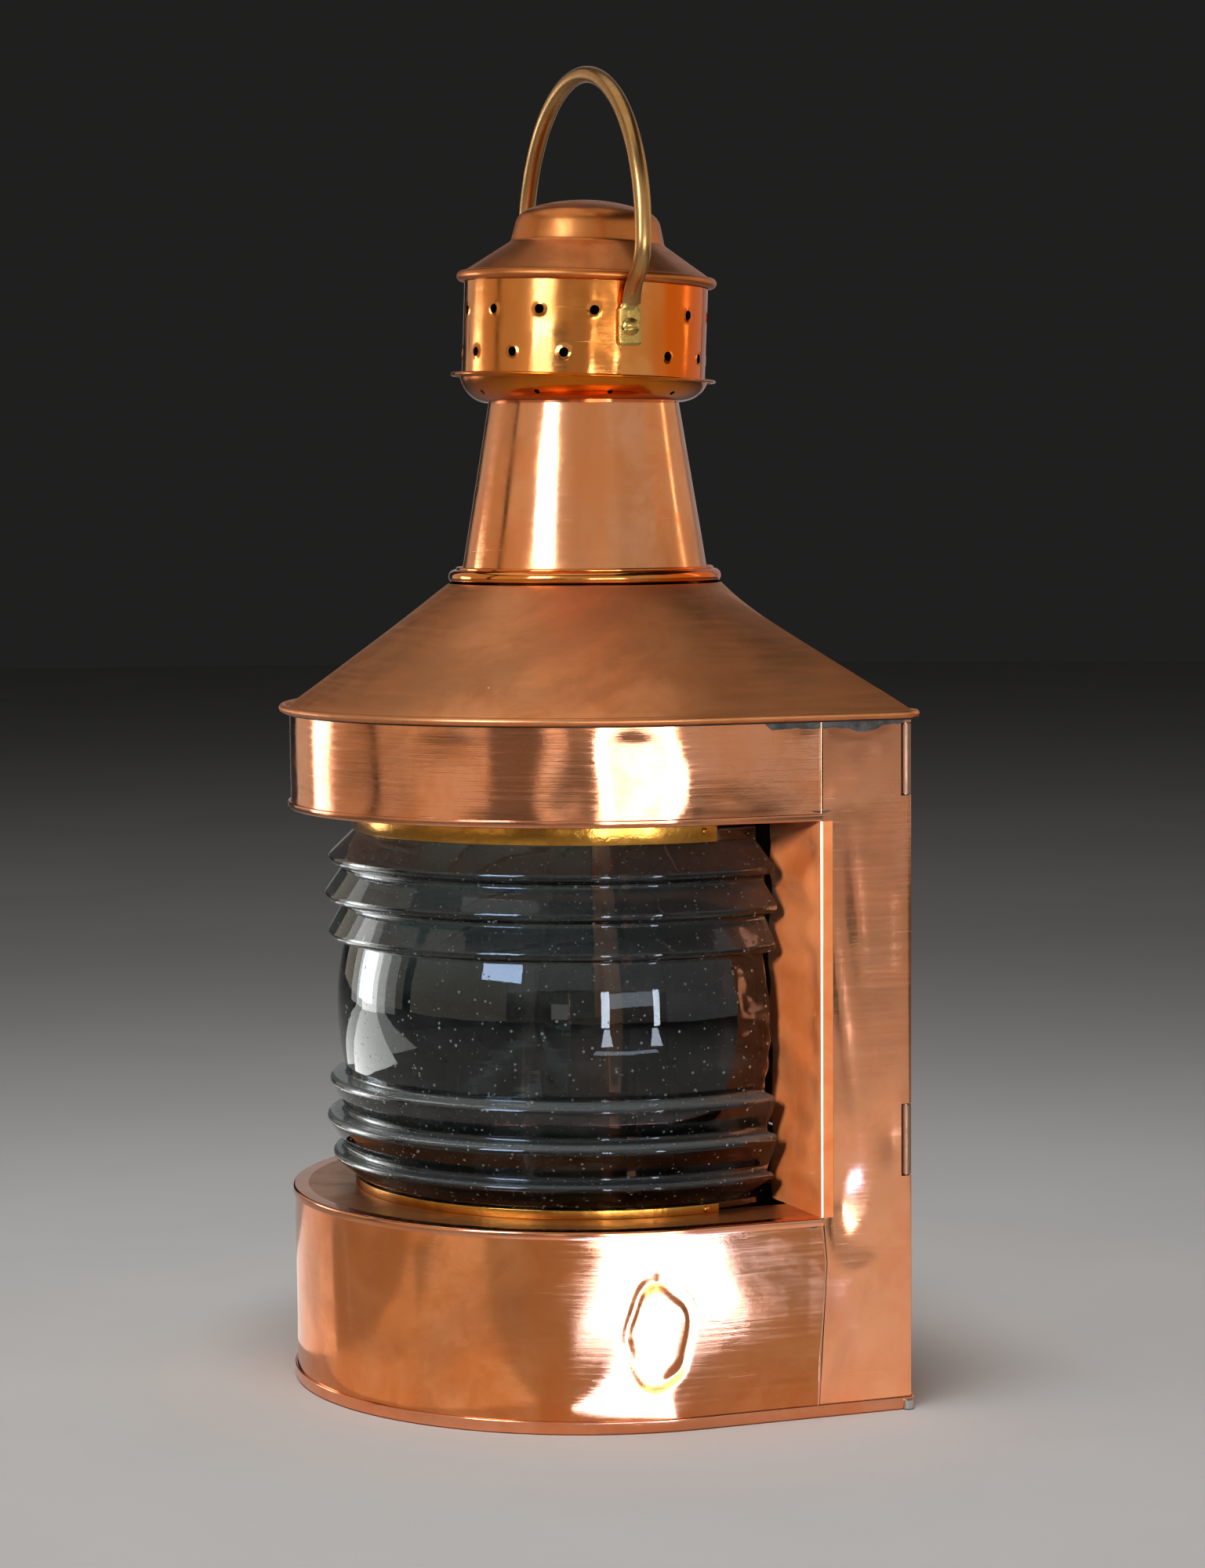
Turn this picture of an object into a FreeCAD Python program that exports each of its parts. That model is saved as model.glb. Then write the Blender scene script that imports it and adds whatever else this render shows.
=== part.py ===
"""Masthead ship lantern in copper and brass, with a thick pressed-glass lens.

Frame: millimetres, +Z up, origin on the lens axis in the plane of the base. The lens looks
along -Y, the flat back with its door looks along +Y. Every size below is a driving dimension
in the sheet named Sizes; sketches and features are bound to it by expressions.
"""
import FreeCAD, Part
import math
import os

import Sketcher

V = FreeCAD.Vector
TAU = 2 * math.pi

SIZES = {
    # case: a half-round front of this radius, straight sides, a flat back
    "body_radius": 131.0,
    "seam_y": 55.4,
    "back_y": 97.7,
    "sheet": 1.0,
    "lap": 1.0,
    "base_hem": 5.5,
    "ledge_z": 85.5,
    "ledge_hem": 3.5,
    "ledge_hole": 96.0,
    "soffit_z": 253.4,
    "soffit_hem": 3.2,
    "eave_z": 295.6,
    # transverse copper screens beside the lens
    "screen_inner_x": 88.0,
    "screen_flange": 4.5,
    # hinge up the right-hand back corner, and the door
    "tube_radius": 2.5,
    "tube_bore": 1.26,
    "pin_radius": 1.2,
    "door_bottom": 101.0,
    "door_top": 293.4,
    "knuckle_height": 29.6,
    "low_knuckle_z": 101.3,
    "high_knuckle_z": 263.6,
    "knuckle_gap": 0.4,
    "leaf_length": 20.0,
    "hinge_clear": 0.6,
    "door_hinge_gap": 0.7,
    "door_edge_gap": 0.8,
    "rib_inset": 10.0,
    "rib_hinge_inset": 24.0,
    "rib_width": 4.0,
    "rib_depth": 0.9,
    "stop_width": 9.0,
    # roof, from the D-shaped eave to the round bead
    "roof_over": 2.0,
    "roof_base_z": 295.9,
    "roof_top_z": 351.5,
    "roof_top_radius": 60.3,
    "roof_drop": 1.25,
    "rim_offset": 3.1,
    "rim_radius": 1.7,
    "rim_z": 297.5,
    "rim_corner": 6.0,
    # chimney and bead
    "bead_z": 351.5,
    "bead_height": 6.6,
    "bead_inner": 55.2,
    "bead_land": 57.7,
    "bead_round": 3.4,
    "chimney_base": 55.1,
    "chimney_top": 42.0,
    "chimney_top_z": 430.8,
    "thin_sheet": 0.8,
    # ventilator
    "flange_radius": 58.4,
    "flange_z": 441.2,
    "pan_radius": 54.6,
    "pan_round": 13.0,
    "pan_hole_circle": 50.5,
    "pan_hole": 1.25,
    "pan_hole_count": 10,
    "pan_hole_turn": 82.0,
    "collar_radius": 53.6,
    "vent_hole": 2.1,
    "vent_count": 14,
    "high_row_z": 469.2,
    "low_row_z": 450.9,
    "high_row_turn": 99.0,
    "low_row_turn": 85.5,
    # cap
    "cap_top_z": 519.3,
    "cap_shoulder_radius": 28.0,
    "cap_shoulder_z": 514.3,
    "cap_shoulder_round": 5.0,
    "cap_wall_radius": 31.0,
    "cap_wall_z": 509.6,
    "cap_step_radius": 34.0,
    "cap_step_z": 500.0,
    "cap_brim_radius": 54.9,
    "cap_brim_z": 484.4,
    "cap_bead": 2.3,
    # bail
    "pivot_z": 461.8,
    "bail_rod": 3.6,
    "bail_arch": 72.0,
    "bail_arch_z": 501.8,
    "bail_knee_z": 499.0,
    "bail_foot_x": 57.6,
    "bail_knee_round": 20.2,
    "tab_inner_x": 54.1,
    "tab_sheet": 2.6,
    "tab_width": 10.4,
    "tab_bottom_z": 454.0,
    "tab_top_z": 469.9,
    "tab_bore": 2.06,
    "screw_radius": 2.0,
    "screw_head": 3.75,
    "screw_head_height": 2.3,
    "screw_gap": 0.35,
    "nut_radius": 4.0,
    "nut_height": 3.0,
    # lens
    "lens_angle": 225.0,
    "lens_inner": 97.0,
    "lens_neck": 102.9,
    "lens_notch": 107.5,
    "lens_barrel_round": 114.0,
    "lens_bottom_z": 86.6,
    "lens_top_z": 249.0,
    "neck_height": 3.0,
    "top_neck_z": 243.6,
    "tip_outer": 117.9,
    "tip_first": 117.1,
    "tip_inner": 116.2,
    "tip_one_z": 229.6,
    "tip_two_z": 213.1,
    "tip_three_z": 196.4,
    "tip_four_z": 134.4,
    "tip_five_z": 117.7,
    "tip_six_z": 101.0,
    "step_drop": 1.1,
    "ring_angle": 202.0,
    "ring_sheet": 1.0,
    # oil lamp
    "font_radius": 58.0,
    "font_base_z": 1.2,
    "font_top_z": 80.0,
    "lid_crown_z": 88.0,
    "lid_crown_radius": 46.0,
    "lid_hole": 12.2,
    "filler_y": 32.0,
    "filler_radius": 8.0,
    "filler_bore": 6.5,
    "filler_top_z": 97.0,
    "cap_skirt": 8.4,
    "filler_cap_radius": 10.0,
    "filler_cap_top_z": 101.5,
    "burner_radius": 17.0,
    "burner_base_z": 95.0,
    "burner_top_z": 127.0,
    "wick_tube_top_z": 150.0,
    "wick_half_width": 8.0,
    "wick_half_thick": 1.0,
    "wick_clear": 0.3,
    "tube_sheet": 0.7,
    "wick_top_z": 154.0,
    "wick_bottom_z": 16.0,
    "winder_z": 111.0,
    "winder_x": 5.9,
    "shaft_radius": 1.5,
    "shaft_bore": 1.56,
    "shaft_back_y": 64.0,
    "spur_radius": 4.2,
    "spur_thick": 2.0,
    "spur_count": 12,
    "knob_radius": 9.0,
    "knob_thick": 5.0,
    "gallery_radius": 23.0,
    "gallery_top_z": 136.0,
    "glass_base": 20.5,
    "glass_bulge": 24.5,
    "glass_bulge_z": 156.0,
    "glass_neck": 15.5,
    "glass_neck_z": 196.0,
    "glass_top_z": 244.0,
    "glass_wall": 1.6,
    # door furniture
    "knob_x": 113.0,
    "knob_z": 197.0,
    "pull_radius": 7.0,
    "pull_foot": 5.5,
    "pull_neck": 3.2,
    "pull_crown": 3.0,
    "pull_length": 13.0,
    "button_x": 98.0,
    "button_z": 91.0,
    "button_half_length": 21.0,
    "button_half_width": 5.0,
    "button_thick": 1.8,
    "button_gap": 0.4,
    "button_bore": 2.06,
}

doc = FreeCAD.newDocument("ship_lantern")
sizes = doc.addObject("Spreadsheet::Sheet", "Sizes")
for row, (alias, size) in enumerate(SIZES.items(), start=1):
    sizes.set(f"A{row}", alias)
    sizes.set(f"B{row}", str(size))
    sizes.setAlias(f"B{row}", alias)
doc.recompute()

pieces = []


# ---------------------------------------------------------------- sketch and feature helpers


def bound(text):
    """An expression on the sheet: $name stands for the cell with that alias."""
    return text.replace("$", "Sizes.")


def value(text):
    """The number that an expression gives now."""
    return float(sizes.evalExpression(bound(text)))


def origin_feature(body, role):
    return next(item for item in body.Origin.OriginFeatures if item.Role == role)


def new_body(label, z="0"):
    body = doc.addObject("PartDesign::Body", label)
    body.Label = label
    if z != "0":
        body.setExpression("Placement.Base.z", bound(z))
    pieces.append(body)
    return body


def new_sketch(body, plane, offset="0", turn=0.0):
    """A sketch on one of the body's origin planes, moved along its normal and turned about Z."""
    sketch = body.newObject("Sketcher::SketchObject", "Sketch")
    sketch.AttachmentSupport = [(origin_feature(body, plane), "")]
    sketch.MapMode = "FlatFace"
    sketch.AttachmentOffset = FreeCAD.Placement(V(), FreeCAD.Rotation(V(0, 1, 0), turn))
    if offset != "0":
        sketch.setExpression("AttachmentOffset.Base.z", bound(offset))
    return sketch


def hold_point(sketch, geometry, end, x, y):
    """Fixes a point of the sketch at two expressions."""
    for kind, axis, text in (("DistanceX", -2, x), ("DistanceY", -1, y)):
        number = value(text)
        if abs(number) < 1e-9:
            sketch.addConstraint(Sketcher.Constraint("PointOnObject", geometry, end, axis))
            continue
        index = sketch.addConstraint(Sketcher.Constraint(kind, -1, 1, geometry, end, number))
        sketch.setExpression(f"Constraints[{index}]", bound(text))


def draw_circle(sketch, x, y, radius):
    circle = Part.Circle(V(value(x), value(y), 0), V(0, 0, 1), value(radius))
    geometry = sketch.addGeometry(circle)
    hold_point(sketch, geometry, 3, x, y)
    index = sketch.addConstraint(Sketcher.Constraint("Radius", geometry, value(radius)))
    sketch.setExpression(f"Constraints[{index}]", bound(radius))


def arc_between(first, last, radius, turn):
    """The shorter arc from first to last that turns left or right."""
    chord = last - first
    reach = math.sqrt(max(radius ** 2 - (chord.Length / 2) ** 2, 0.0))
    side = V(-chord.y, chord.x, 0).normalize() * (reach if turn == "left" else -reach)
    centre = (first + last) / 2 + side
    ends = (first, last) if turn == "left" else (last, first)
    start, stop = (math.atan2(point.y - centre.y, point.x - centre.x) for point in ends)
    if stop < start:
        stop += TAU
    return Part.ArcOfCircle(Part.Circle(centre, V(0, 0, 1), radius), start, stop)


def draw_outline(sketch, corners, closed=True):
    """Lines, or arcs after a corner that gives (x, y, left or right, radius)."""
    spots = [V(value(corner[0]), value(corner[1]), 0) for corner in corners]
    count = len(corners) if closed else len(corners) - 1
    ends = []
    for index in range(count):
        corner = corners[index]
        first, last = spots[index], spots[(index + 1) % len(spots)]
        if len(corner) == 2:
            geometry = sketch.addGeometry(Part.LineSegment(first, last))
            ends.append((geometry, 1, 2))
            continue
        turn, radius = corner[2:]
        geometry = sketch.addGeometry(arc_between(first, last, value(radius), turn))
        ends.append((geometry, 1, 2) if turn == "left" else (geometry, 2, 1))
        rule = sketch.addConstraint(Sketcher.Constraint("Radius", geometry, value(radius)))
        sketch.setExpression(f"Constraints[{rule}]", bound(radius))
    for index, (geometry, start, stop) in enumerate(ends):
        hold_point(sketch, geometry, start, corners[index][0], corners[index][1])
        if index + 1 < count or closed:
            following = ends[(index + 1) % count]
            joint = Sketcher.Constraint("Coincident", geometry, stop, following[0], following[1])
            sketch.addConstraint(joint)
    if not closed:
        geometry, _, stop = ends[-1]
        hold_point(sketch, geometry, stop, corners[-1][0], corners[-1][1])


def draw(sketch, outlines):
    for outline in outlines:
        if outline[0] == "circle":
            draw_circle(sketch, *outline[1:])
        else:
            draw_outline(sketch, outline)


def pad(body, outlines, height, offset="0", plane="XY_Plane", middle=False):
    """Pads closed outlines; an outline inside another is a hole."""
    sketch = new_sketch(body, plane, offset)
    draw(sketch, outlines)
    feature = body.newObject("PartDesign::Pad", "Pad")
    feature.Profile = sketch
    feature.Midplane = middle
    feature.setExpression("Length", bound(height))
    return feature


def pocket_through(body, outlines, plane, turn=0.0):
    """Cuts closed outlines through everything on both sides of a plane."""
    doc.recompute()
    before = body.Shape.Volume
    sketch = new_sketch(body, plane, turn=turn)
    draw(sketch, outlines)
    feature = body.newObject("PartDesign::Pocket", "Pocket")
    feature.Profile = sketch
    feature.Type = "ThroughAll"
    feature.Midplane = True
    doc.recompute()
    if body.Shape.Volume > before - 1e-3:
        raise RuntimeError(f"{body.Label}: a pocket cut nothing")
    return feature


def revolve(body, outline, plane="XZ_Plane", angle=None):
    """Turns an outline of (radius, height) corners about Z."""
    sketch = new_sketch(body, plane)
    draw(sketch, [outline])
    feature = body.newObject("PartDesign::Revolution", "Revolution")
    feature.Profile = sketch
    feature.ReferenceAxis = (sketch, ["V_Axis"])
    if angle:
        feature.Midplane = True
        feature.setExpression("Angle", bound(angle))
    return feature


def polar(body, feature, count, angle="360"):
    pattern = body.newObject("PartDesign::PolarPattern", "PolarPattern")
    pattern.Originals = [feature]
    pattern.Axis = (origin_feature(body, "Z_Axis"), [""])
    pattern.setExpression("Occurrences", bound(count))
    pattern.setExpression("Angle", bound(angle))
    body.Tip = pattern
    return pattern


def box_outline(x0, x1, y0, y1):
    return [(x0, y0), (x1, y0), (x1, y1), (x0, y1)]


def tube_outline(inner, outer, z0, z1):
    return box_outline(inner, outer, z0, z1)


def crown(radius, rise):
    """The radius of an arc that crowns a disc: its centre is then exactly on the axis."""
    return f"(({radius}) ^ 2 + ({rise}) ^ 2) / (2 * ({rise}))"


def sideways(body, x, y, z, direction):
    """Lays a body turned about Z along X or Y, with its base at a point."""
    axis, angle = {"+X": (V(0, 1, 0), 90), "+Y": (V(1, 0, 0), -90)}[direction]
    body.Placement = FreeCAD.Placement(V(value(x), value(y), value(z)), FreeCAD.Rotation(axis, angle))
    for name, text in (("x", x), ("y", y), ("z", z)):
        body.setExpression(f"Placement.Base.{name}", bound(text))


def both_sides(label, body):
    """A node of two equal solids: the body and its mirror image across the middle plane."""
    pieces.remove(body)
    mirror = doc.addObject("Part::Mirroring", f"{label}_mirror")
    mirror.Source = body
    mirror.Normal = V(1, 0, 0)
    pair = doc.addObject("Part::Compound", label)
    pair.Links = [body, mirror]
    pair.Label = label
    pieces.append(pair)


# ---------------------------------------------------------------- case outlines


def d_outline(radius, back):
    """The plan of the case: half-round front, straight sides, flat back."""
    return [
        (radius, back),
        (f"-({radius})", back),
        (f"-({radius})", "0", "left", radius),
        ("0", f"-({radius})", "left", radius),
        (radius, "0"),
    ]


def u_wall(outer, inner, back):
    """A wall round the front, from one side seam to the other."""
    return [
        (outer, back),
        (outer, "0", "right", outer),
        ("0", f"-({outer})", "right", outer),
        (f"-({outer})", "0"),
        (f"-({outer})", back),
        (f"-({inner})", back),
        (f"-({inner})", "0", "left", inner),
        ("0", f"-({inner})", "left", inner),
        (inner, "0"),
        (inner, back),
    ]


# ---------------------------------------------------------------- case


def make_bottom_plate():
    body = new_body("bottom_plate")
    outer = d_outline("$body_radius + $lap", "$back_y + $lap")
    inner = d_outline("$body_radius", "$back_y")
    pad(body, [outer], "$sheet")
    pad(body, [outer, inner], "$base_hem")


def make_band(label, low, high):
    body = new_body(label, low)
    wall = u_wall("$body_radius", "$body_radius - $sheet", "$seam_y")
    pad(body, [wall], f"({high}) - ({low})")


def make_flat_ring(label, low, hem_low, hem):
    """A shelf round the lens opening, with its rim turned over the drum beside it."""
    body = new_body(label, low)
    shelf = u_wall("$body_radius + $lap", "$ledge_hole", "$seam_y")
    pad(body, [shelf], "$sheet")
    skirt = u_wall("$body_radius + $lap", "$body_radius", "$seam_y")
    pad(body, [skirt], hem, offset=hem_low)


def hinge_x():
    return "($body_radius - $tube_radius)"


def hinge_y():
    return "($back_y - $tube_radius)"


def hinge_ring(radius):
    return ("circle", hinge_x(), hinge_y(), radius)


def make_side_panel_right():
    """The hinged side: its back edge is rolled round the hinge pin between the knuckles."""
    body = new_body("side_panel_right")
    clear_y = "$back_y - 2 * $tube_radius - $hinge_clear"
    strip = box_outline("$body_radius - $sheet", "$body_radius", "$seam_y", clear_y)
    pad(body, [strip], "$eave_z - $sheet", offset="$sheet")
    neck = box_outline("$body_radius - $sheet", "$body_radius", clear_y, hinge_y())
    spans = [
        ("$sheet", "$low_knuckle_z - $knuckle_gap"),
        ("$low_knuckle_z + $knuckle_height + $knuckle_gap", "$high_knuckle_z - $knuckle_gap"),
        ("$high_knuckle_z + $knuckle_height + $knuckle_gap", "$eave_z"),
    ]
    for low, high in spans:
        pad(body, [neck], f"({high}) - ({low})", offset=low)
        rolled = [hinge_ring("$tube_radius"), hinge_ring("$tube_bore")]
        pad(body, rolled, f"({high}) - ({low})", offset=low)


def make_side_panel_left():
    """The closing side: a strip with an inner flange that stops the door."""
    body = new_body("side_panel_left", "$sheet")
    edge = "-$body_radius"
    inside = "-$body_radius + $sheet"
    strip = box_outline(edge, inside, "$seam_y", "$back_y")
    pad(body, [strip], "$eave_z - $sheet")
    front, back = "$back_y - 2 * $sheet - $button_gap", "$back_y - $sheet - $button_gap"
    stop = box_outline(inside, "-$body_radius + $stop_width", front, back)
    pad(body, [stop], "$door_top - $door_bottom", offset="$door_bottom - $sheet")


def make_side_screen(label, side):
    """The transverse screen beside the lens, lapped over the side panel's outer face."""
    body = new_body(label, "$ledge_z")
    height = "$soffit_z - $ledge_z"
    outer, inner, reach = "$body_radius + $lap", "$body_radius", "$screen_inner_x"
    screen = box_outline(f"{side}({reach})", f"{side}({outer})", "$seam_y - $sheet", "$seam_y")
    flange_end = "$seam_y + $screen_flange"
    flange = box_outline(f"{side}({inner})", f"{side}({outer})", "$seam_y - $sheet", flange_end)
    pad(body, [screen], height)
    pad(body, [flange], height)


def make_back_lower_panel():
    body = new_body("back_lower_panel", "$sheet")
    right = f"{hinge_x()} - $tube_radius - 0.1"
    panel = box_outline("-$body_radius + $sheet", right, "$back_y - $sheet", "$back_y")
    pad(body, [panel], "$door_bottom - 2 * $sheet")
    bore = ("circle", "-$button_x", "$button_z - $sheet", "$screw_radius")
    pocket_through(body, [bore], "XZ_Plane")


def make_case():
    make_bottom_plate()
    make_band("lower_band", "$sheet", "$ledge_z - $sheet")
    make_flat_ring("ledge_plate", "$ledge_z - $sheet", "$sheet - $ledge_hem", "$ledge_hem")
    make_side_panel_right()
    make_side_panel_left()
    make_side_screen("side_screen_right", "")
    make_side_screen("side_screen_left", "-")
    make_back_lower_panel()
    make_flat_ring("soffit_plate", "$soffit_z", "0", "$soffit_hem")
    make_band("upper_band", "$soffit_z + $sheet", "$eave_z")


# ---------------------------------------------------------------- roof, chimney, ventilator


def roof_section(body, radius, back, z):
    """One section of the roof in six edges, so that the eave meets the round top edge for edge."""
    sketch = new_sketch(body, "XY_Plane", z)
    corners = [
        (radius, "0"),
        (radius, back),
        ("0", back),
        (f"-({radius})", back),
        (f"-({radius})", "0", "left", radius),
        ("0", f"-({radius})", "left", radius),
    ]
    draw(sketch, [corners])
    return sketch


def roof_throat(body, radius, z):
    """The round top of the roof, split where the section below has its corners."""
    sketch = new_sketch(body, "XY_Plane", z)
    diagonal = f"({radius}) * cos(45deg)"
    corners = [
        (radius, "0", "left", radius),
        (diagonal, diagonal, "left", radius),
        ("0", radius, "left", radius),
        (f"-{diagonal}", diagonal, "left", radius),
        (f"-({radius})", "0", "left", radius),
        ("0", f"-({radius})", "left", radius),
    ]
    draw(sketch, [corners])
    return sketch


def make_roof():
    """A D-to-round cone of sheet: the outer solid less the same solid dropped by the sheet."""
    body = new_body("roof")
    eave, back = "$body_radius + $roof_over", "$back_y + $roof_over"
    drops = [("PartDesign::AdditiveLoft", "0"), ("PartDesign::SubtractiveLoft", "$roof_drop")]
    for kind, drop in drops:
        base = roof_section(body, eave, back, f"$roof_base_z - {drop}")
        throat = roof_throat(body, "$roof_top_radius", f"$roof_top_z - {drop}")
        loft = body.newObject(kind, "Loft")
        loft.Profile = base
        loft.Sections = [throat]
        loft.Ruled = True
    hole = pocket_through(body, [("circle", "0", "0", "$roof_top_radius - $roof_drop")], "XY_Plane")
    body.Tip = hole


def make_roof_rim():
    """The wired edge round the eave, with its back corners rounded."""
    body = new_body("roof_rim_wire", "$rim_z")
    side, back, corner = "$body_radius + $rim_offset", "$back_y + $rim_offset", "$rim_corner"
    path = new_sketch(body, "XY_Plane")
    route = [
        ("0", f"-({side})", "left", side),
        (side, "0"),
        (side, f"{back} - {corner}", "left", corner),
        (f"{side} - {corner}", back),
        (f"-({side}) + {corner}", back, "left", corner),
        (f"-({side})", f"{back} - {corner}"),
        (f"-({side})", "0", "left", side),
    ]
    draw_outline(path, route)
    section = new_sketch(body, "YZ_Plane")
    draw_circle(section, f"-({side})", "0", "$rim_radius")
    pipe = body.newObject("PartDesign::AdditivePipe", "Pipe")
    pipe.Profile = section
    pipe.Spine = path


def make_bead_ring():
    body = new_body("bead_ring", "$bead_z")
    revolve(body, [
        ("$bead_inner", "0"),
        ("$bead_land", "0", "left", "$bead_round"),
        ("$bead_land", "$bead_height"),
        ("$bead_inner", "$bead_height"),
    ])


def make_chimney():
    body = new_body("chimney")
    revolve(body, [
        ("$chimney_base - $thin_sheet", "$bead_z"),
        ("$chimney_base", "$bead_z"),
        ("$chimney_top", "$chimney_top_z"),
        ("$chimney_top - $thin_sheet", "$chimney_top_z"),
    ])


def make_vent_pan():
    """The dished pan under the ventilator, with a ring of small holes in its underside."""
    body = new_body("vent_pan")
    revolve(body, [
        ("$chimney_top - $thin_sheet", "$chimney_top_z"),
        ("$chimney_top + 0.4", "$chimney_top_z", "left", "$pan_round"),
        ("$pan_radius", "$flange_z - 0.3"),
        ("$flange_radius", "$flange_z"),
        ("$flange_radius", "$flange_z + $thin_sheet"),
        ("$pan_radius - 0.9", "$flange_z + $thin_sheet", "right", "$pan_round - $thin_sheet"),
        ("$chimney_top - $thin_sheet", "$chimney_top_z + $thin_sheet"),
    ])
    turn = SIZES["pan_hole_turn"]
    spot = ("circle", "$pan_hole_circle", "0", "$pan_hole")
    hole = pocket_through(body, [spot], "XY_Plane")
    polar(body, hole, "$pan_hole_count")
    body.Placement = FreeCAD.Placement(V(), FreeCAD.Rotation(V(0, 0, 1), turn - 90))


def make_vent_collar():
    """The perforated drum: two staggered rows of holes, with none beside the bail's tabs."""
    body = new_body("vent_collar")
    low, high = "$flange_z + $thin_sheet", "$cap_brim_z - $cap_bead"
    revolve(body, tube_outline("$collar_radius - $thin_sheet", "$collar_radius", low, high))
    pocket_through(body, [("circle", "0", "$pivot_z", "$screw_radius")], "YZ_Plane")
    step = "360 / $vent_count"
    for row, turn in (("$high_row_z", "high_row_turn"), ("$low_row_z", "low_row_turn")):
        start = SIZES[turn] + value(step)
        hole = pocket_through(body, [("circle", "0", row, "$vent_hole")], "XZ_Plane", turn=start)
        polar(body, hole, "$vent_count / 2 - 1", f"{step} * ($vent_count / 2 - 2)")


def make_cap():
    """The spun cap: a low dome, a tapered wall, a sloping skirt and a beaded brim."""
    body = new_body("cap")
    skin = "$thin_sheet"
    inner, rise = "$cap_shoulder_radius - 0.4", "$cap_top_z - $cap_shoulder_z"
    revolve(body, [
        ("0", "$cap_top_z", "right", crown("$cap_shoulder_radius", rise)),
        ("$cap_shoulder_radius", "$cap_shoulder_z", "right", "$cap_shoulder_round"),
        ("$cap_wall_radius", "$cap_wall_z"),
        ("$cap_step_radius", "$cap_step_z"),
        ("$cap_brim_radius", "$cap_brim_z + 1.2"),
        ("$cap_brim_radius", f"$cap_brim_z + 1.2 - {skin}"),
        ("$cap_step_radius - 0.7", f"$cap_step_z - {skin}"),
        ("$cap_wall_radius - $thin_sheet", "$cap_wall_z", "left", f"$cap_shoulder_round - {skin}"),
        (inner, f"$cap_shoulder_z - {skin}", "left", crown(inner, rise)),
        ("0", f"$cap_top_z - {skin}"),
    ])
    revolve(body, ["circle", "$cap_brim_radius", "$cap_brim_z", "$cap_bead"])


def make_upperworks():
    make_roof()
    make_roof_rim()
    make_bead_ring()
    make_chimney()
    make_vent_pan()
    make_vent_collar()
    make_cap()


# ---------------------------------------------------------------- bail


def make_bail():
    """A round rod bent into an arch, drawn in at the feet and flattened into two tabs."""
    body = new_body("bail")
    arch, knee, foot = "$bail_arch", "$bail_knee_round", "$bail_foot_x"
    middle = f"({arch} + {foot}) / 2"
    # the two equal arcs of each knee meet halfway, so their height follows from their radius
    half = f"sqrt({knee} ^ 2 - ({knee} - ({arch} - {foot}) / 2) ^ 2)"
    foot_z, middle_z = f"$bail_knee_z - 2 * {half}", f"$bail_knee_z - {half}"
    route = [
        (f"-({foot})", foot_z, "left", knee),
        (f"-({middle})", middle_z, "right", knee),
        (f"-({arch})", "$bail_knee_z"),
        (f"-({arch})", "$bail_arch_z", "right", arch),
        ("0", "$bail_arch_z + $bail_arch", "right", arch),
        (arch, "$bail_arch_z"),
        (arch, "$bail_knee_z", "right", knee),
        (middle, middle_z, "left", knee),
        (foot, foot_z),
    ]
    path = new_sketch(body, "XZ_Plane")
    draw_outline(path, route, closed=False)
    section = new_sketch(body, "XY_Plane", foot_z)
    draw_circle(section, f"-({foot})", "0", "$bail_rod")
    pipe = body.newObject("PartDesign::AdditivePipe", "Pipe")
    pipe.Profile = section
    pipe.Spine = path
    outer = "$tab_inner_x + $tab_sheet"
    tabs = [
        box_outline(f"{side}$tab_inner_x", f"{side}({outer})", "$tab_bottom_z", "$tab_top_z")
        for side in ("", "-")
    ]
    pad(body, tabs, "$tab_width", plane="XZ_Plane", middle=True)
    pocket_through(body, [("circle", "0", "$pivot_z", "$tab_bore")], "YZ_Plane")


def make_bail_screws():
    body = new_body("bail_screw_pair_master")
    seat = "$tab_sheet + $screw_gap + 0.5"
    shank = "$tab_sheet + $screw_gap + 6.0"
    revolve(body, [
        ("0", f"{seat} - ({shank})"),
        ("$screw_radius", f"{seat} - ({shank})"),
        ("$screw_radius", seat),
        ("$screw_head", seat),
        ("$screw_head", f"{seat} + 0.6", "left", crown("$screw_head", "$screw_head_height - 0.6")),
        ("0", f"{seat} + $screw_head_height"),
    ])
    slot = box_outline("-$screw_head - 1", "$screw_head + 1", f"{seat} + 1.3", f"{seat} + 3")
    cut_slot(body, slot)
    sideways(body, "$collar_radius", "0", "$pivot_z", "+X")
    both_sides("bail_screws", body)


def cut_slot(body, slot, width=1.0):
    """A screwdriver slot, one millimetre wide unless told."""
    sketch = new_sketch(body, "XZ_Plane")
    draw(sketch, [slot])
    doc.recompute()
    before = body.Shape.Volume
    feature = body.newObject("PartDesign::Pocket", "Slot")
    feature.Profile = sketch
    feature.Midplane = True
    feature.Length = width
    doc.recompute()
    if body.Shape.Volume > before - 1e-3:
        raise RuntimeError(f"{body.Label}: the slot cut nothing")


def make_bail_nuts():
    body = new_body("bail_nut_pair_master")
    across = [
        (f"$nut_radius * cos({60 * corner}deg)", f"$nut_radius * sin({60 * corner}deg)")
        for corner in range(6)
    ]
    pad(body, [across, ("circle", "0", "0", "$screw_radius")], "$nut_height")
    sideways(body, "$collar_radius - $thin_sheet - $nut_height - 0.2", "0", "$pivot_z", "+X")
    both_sides("bail_nuts", body)


# ---------------------------------------------------------------- lens


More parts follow.
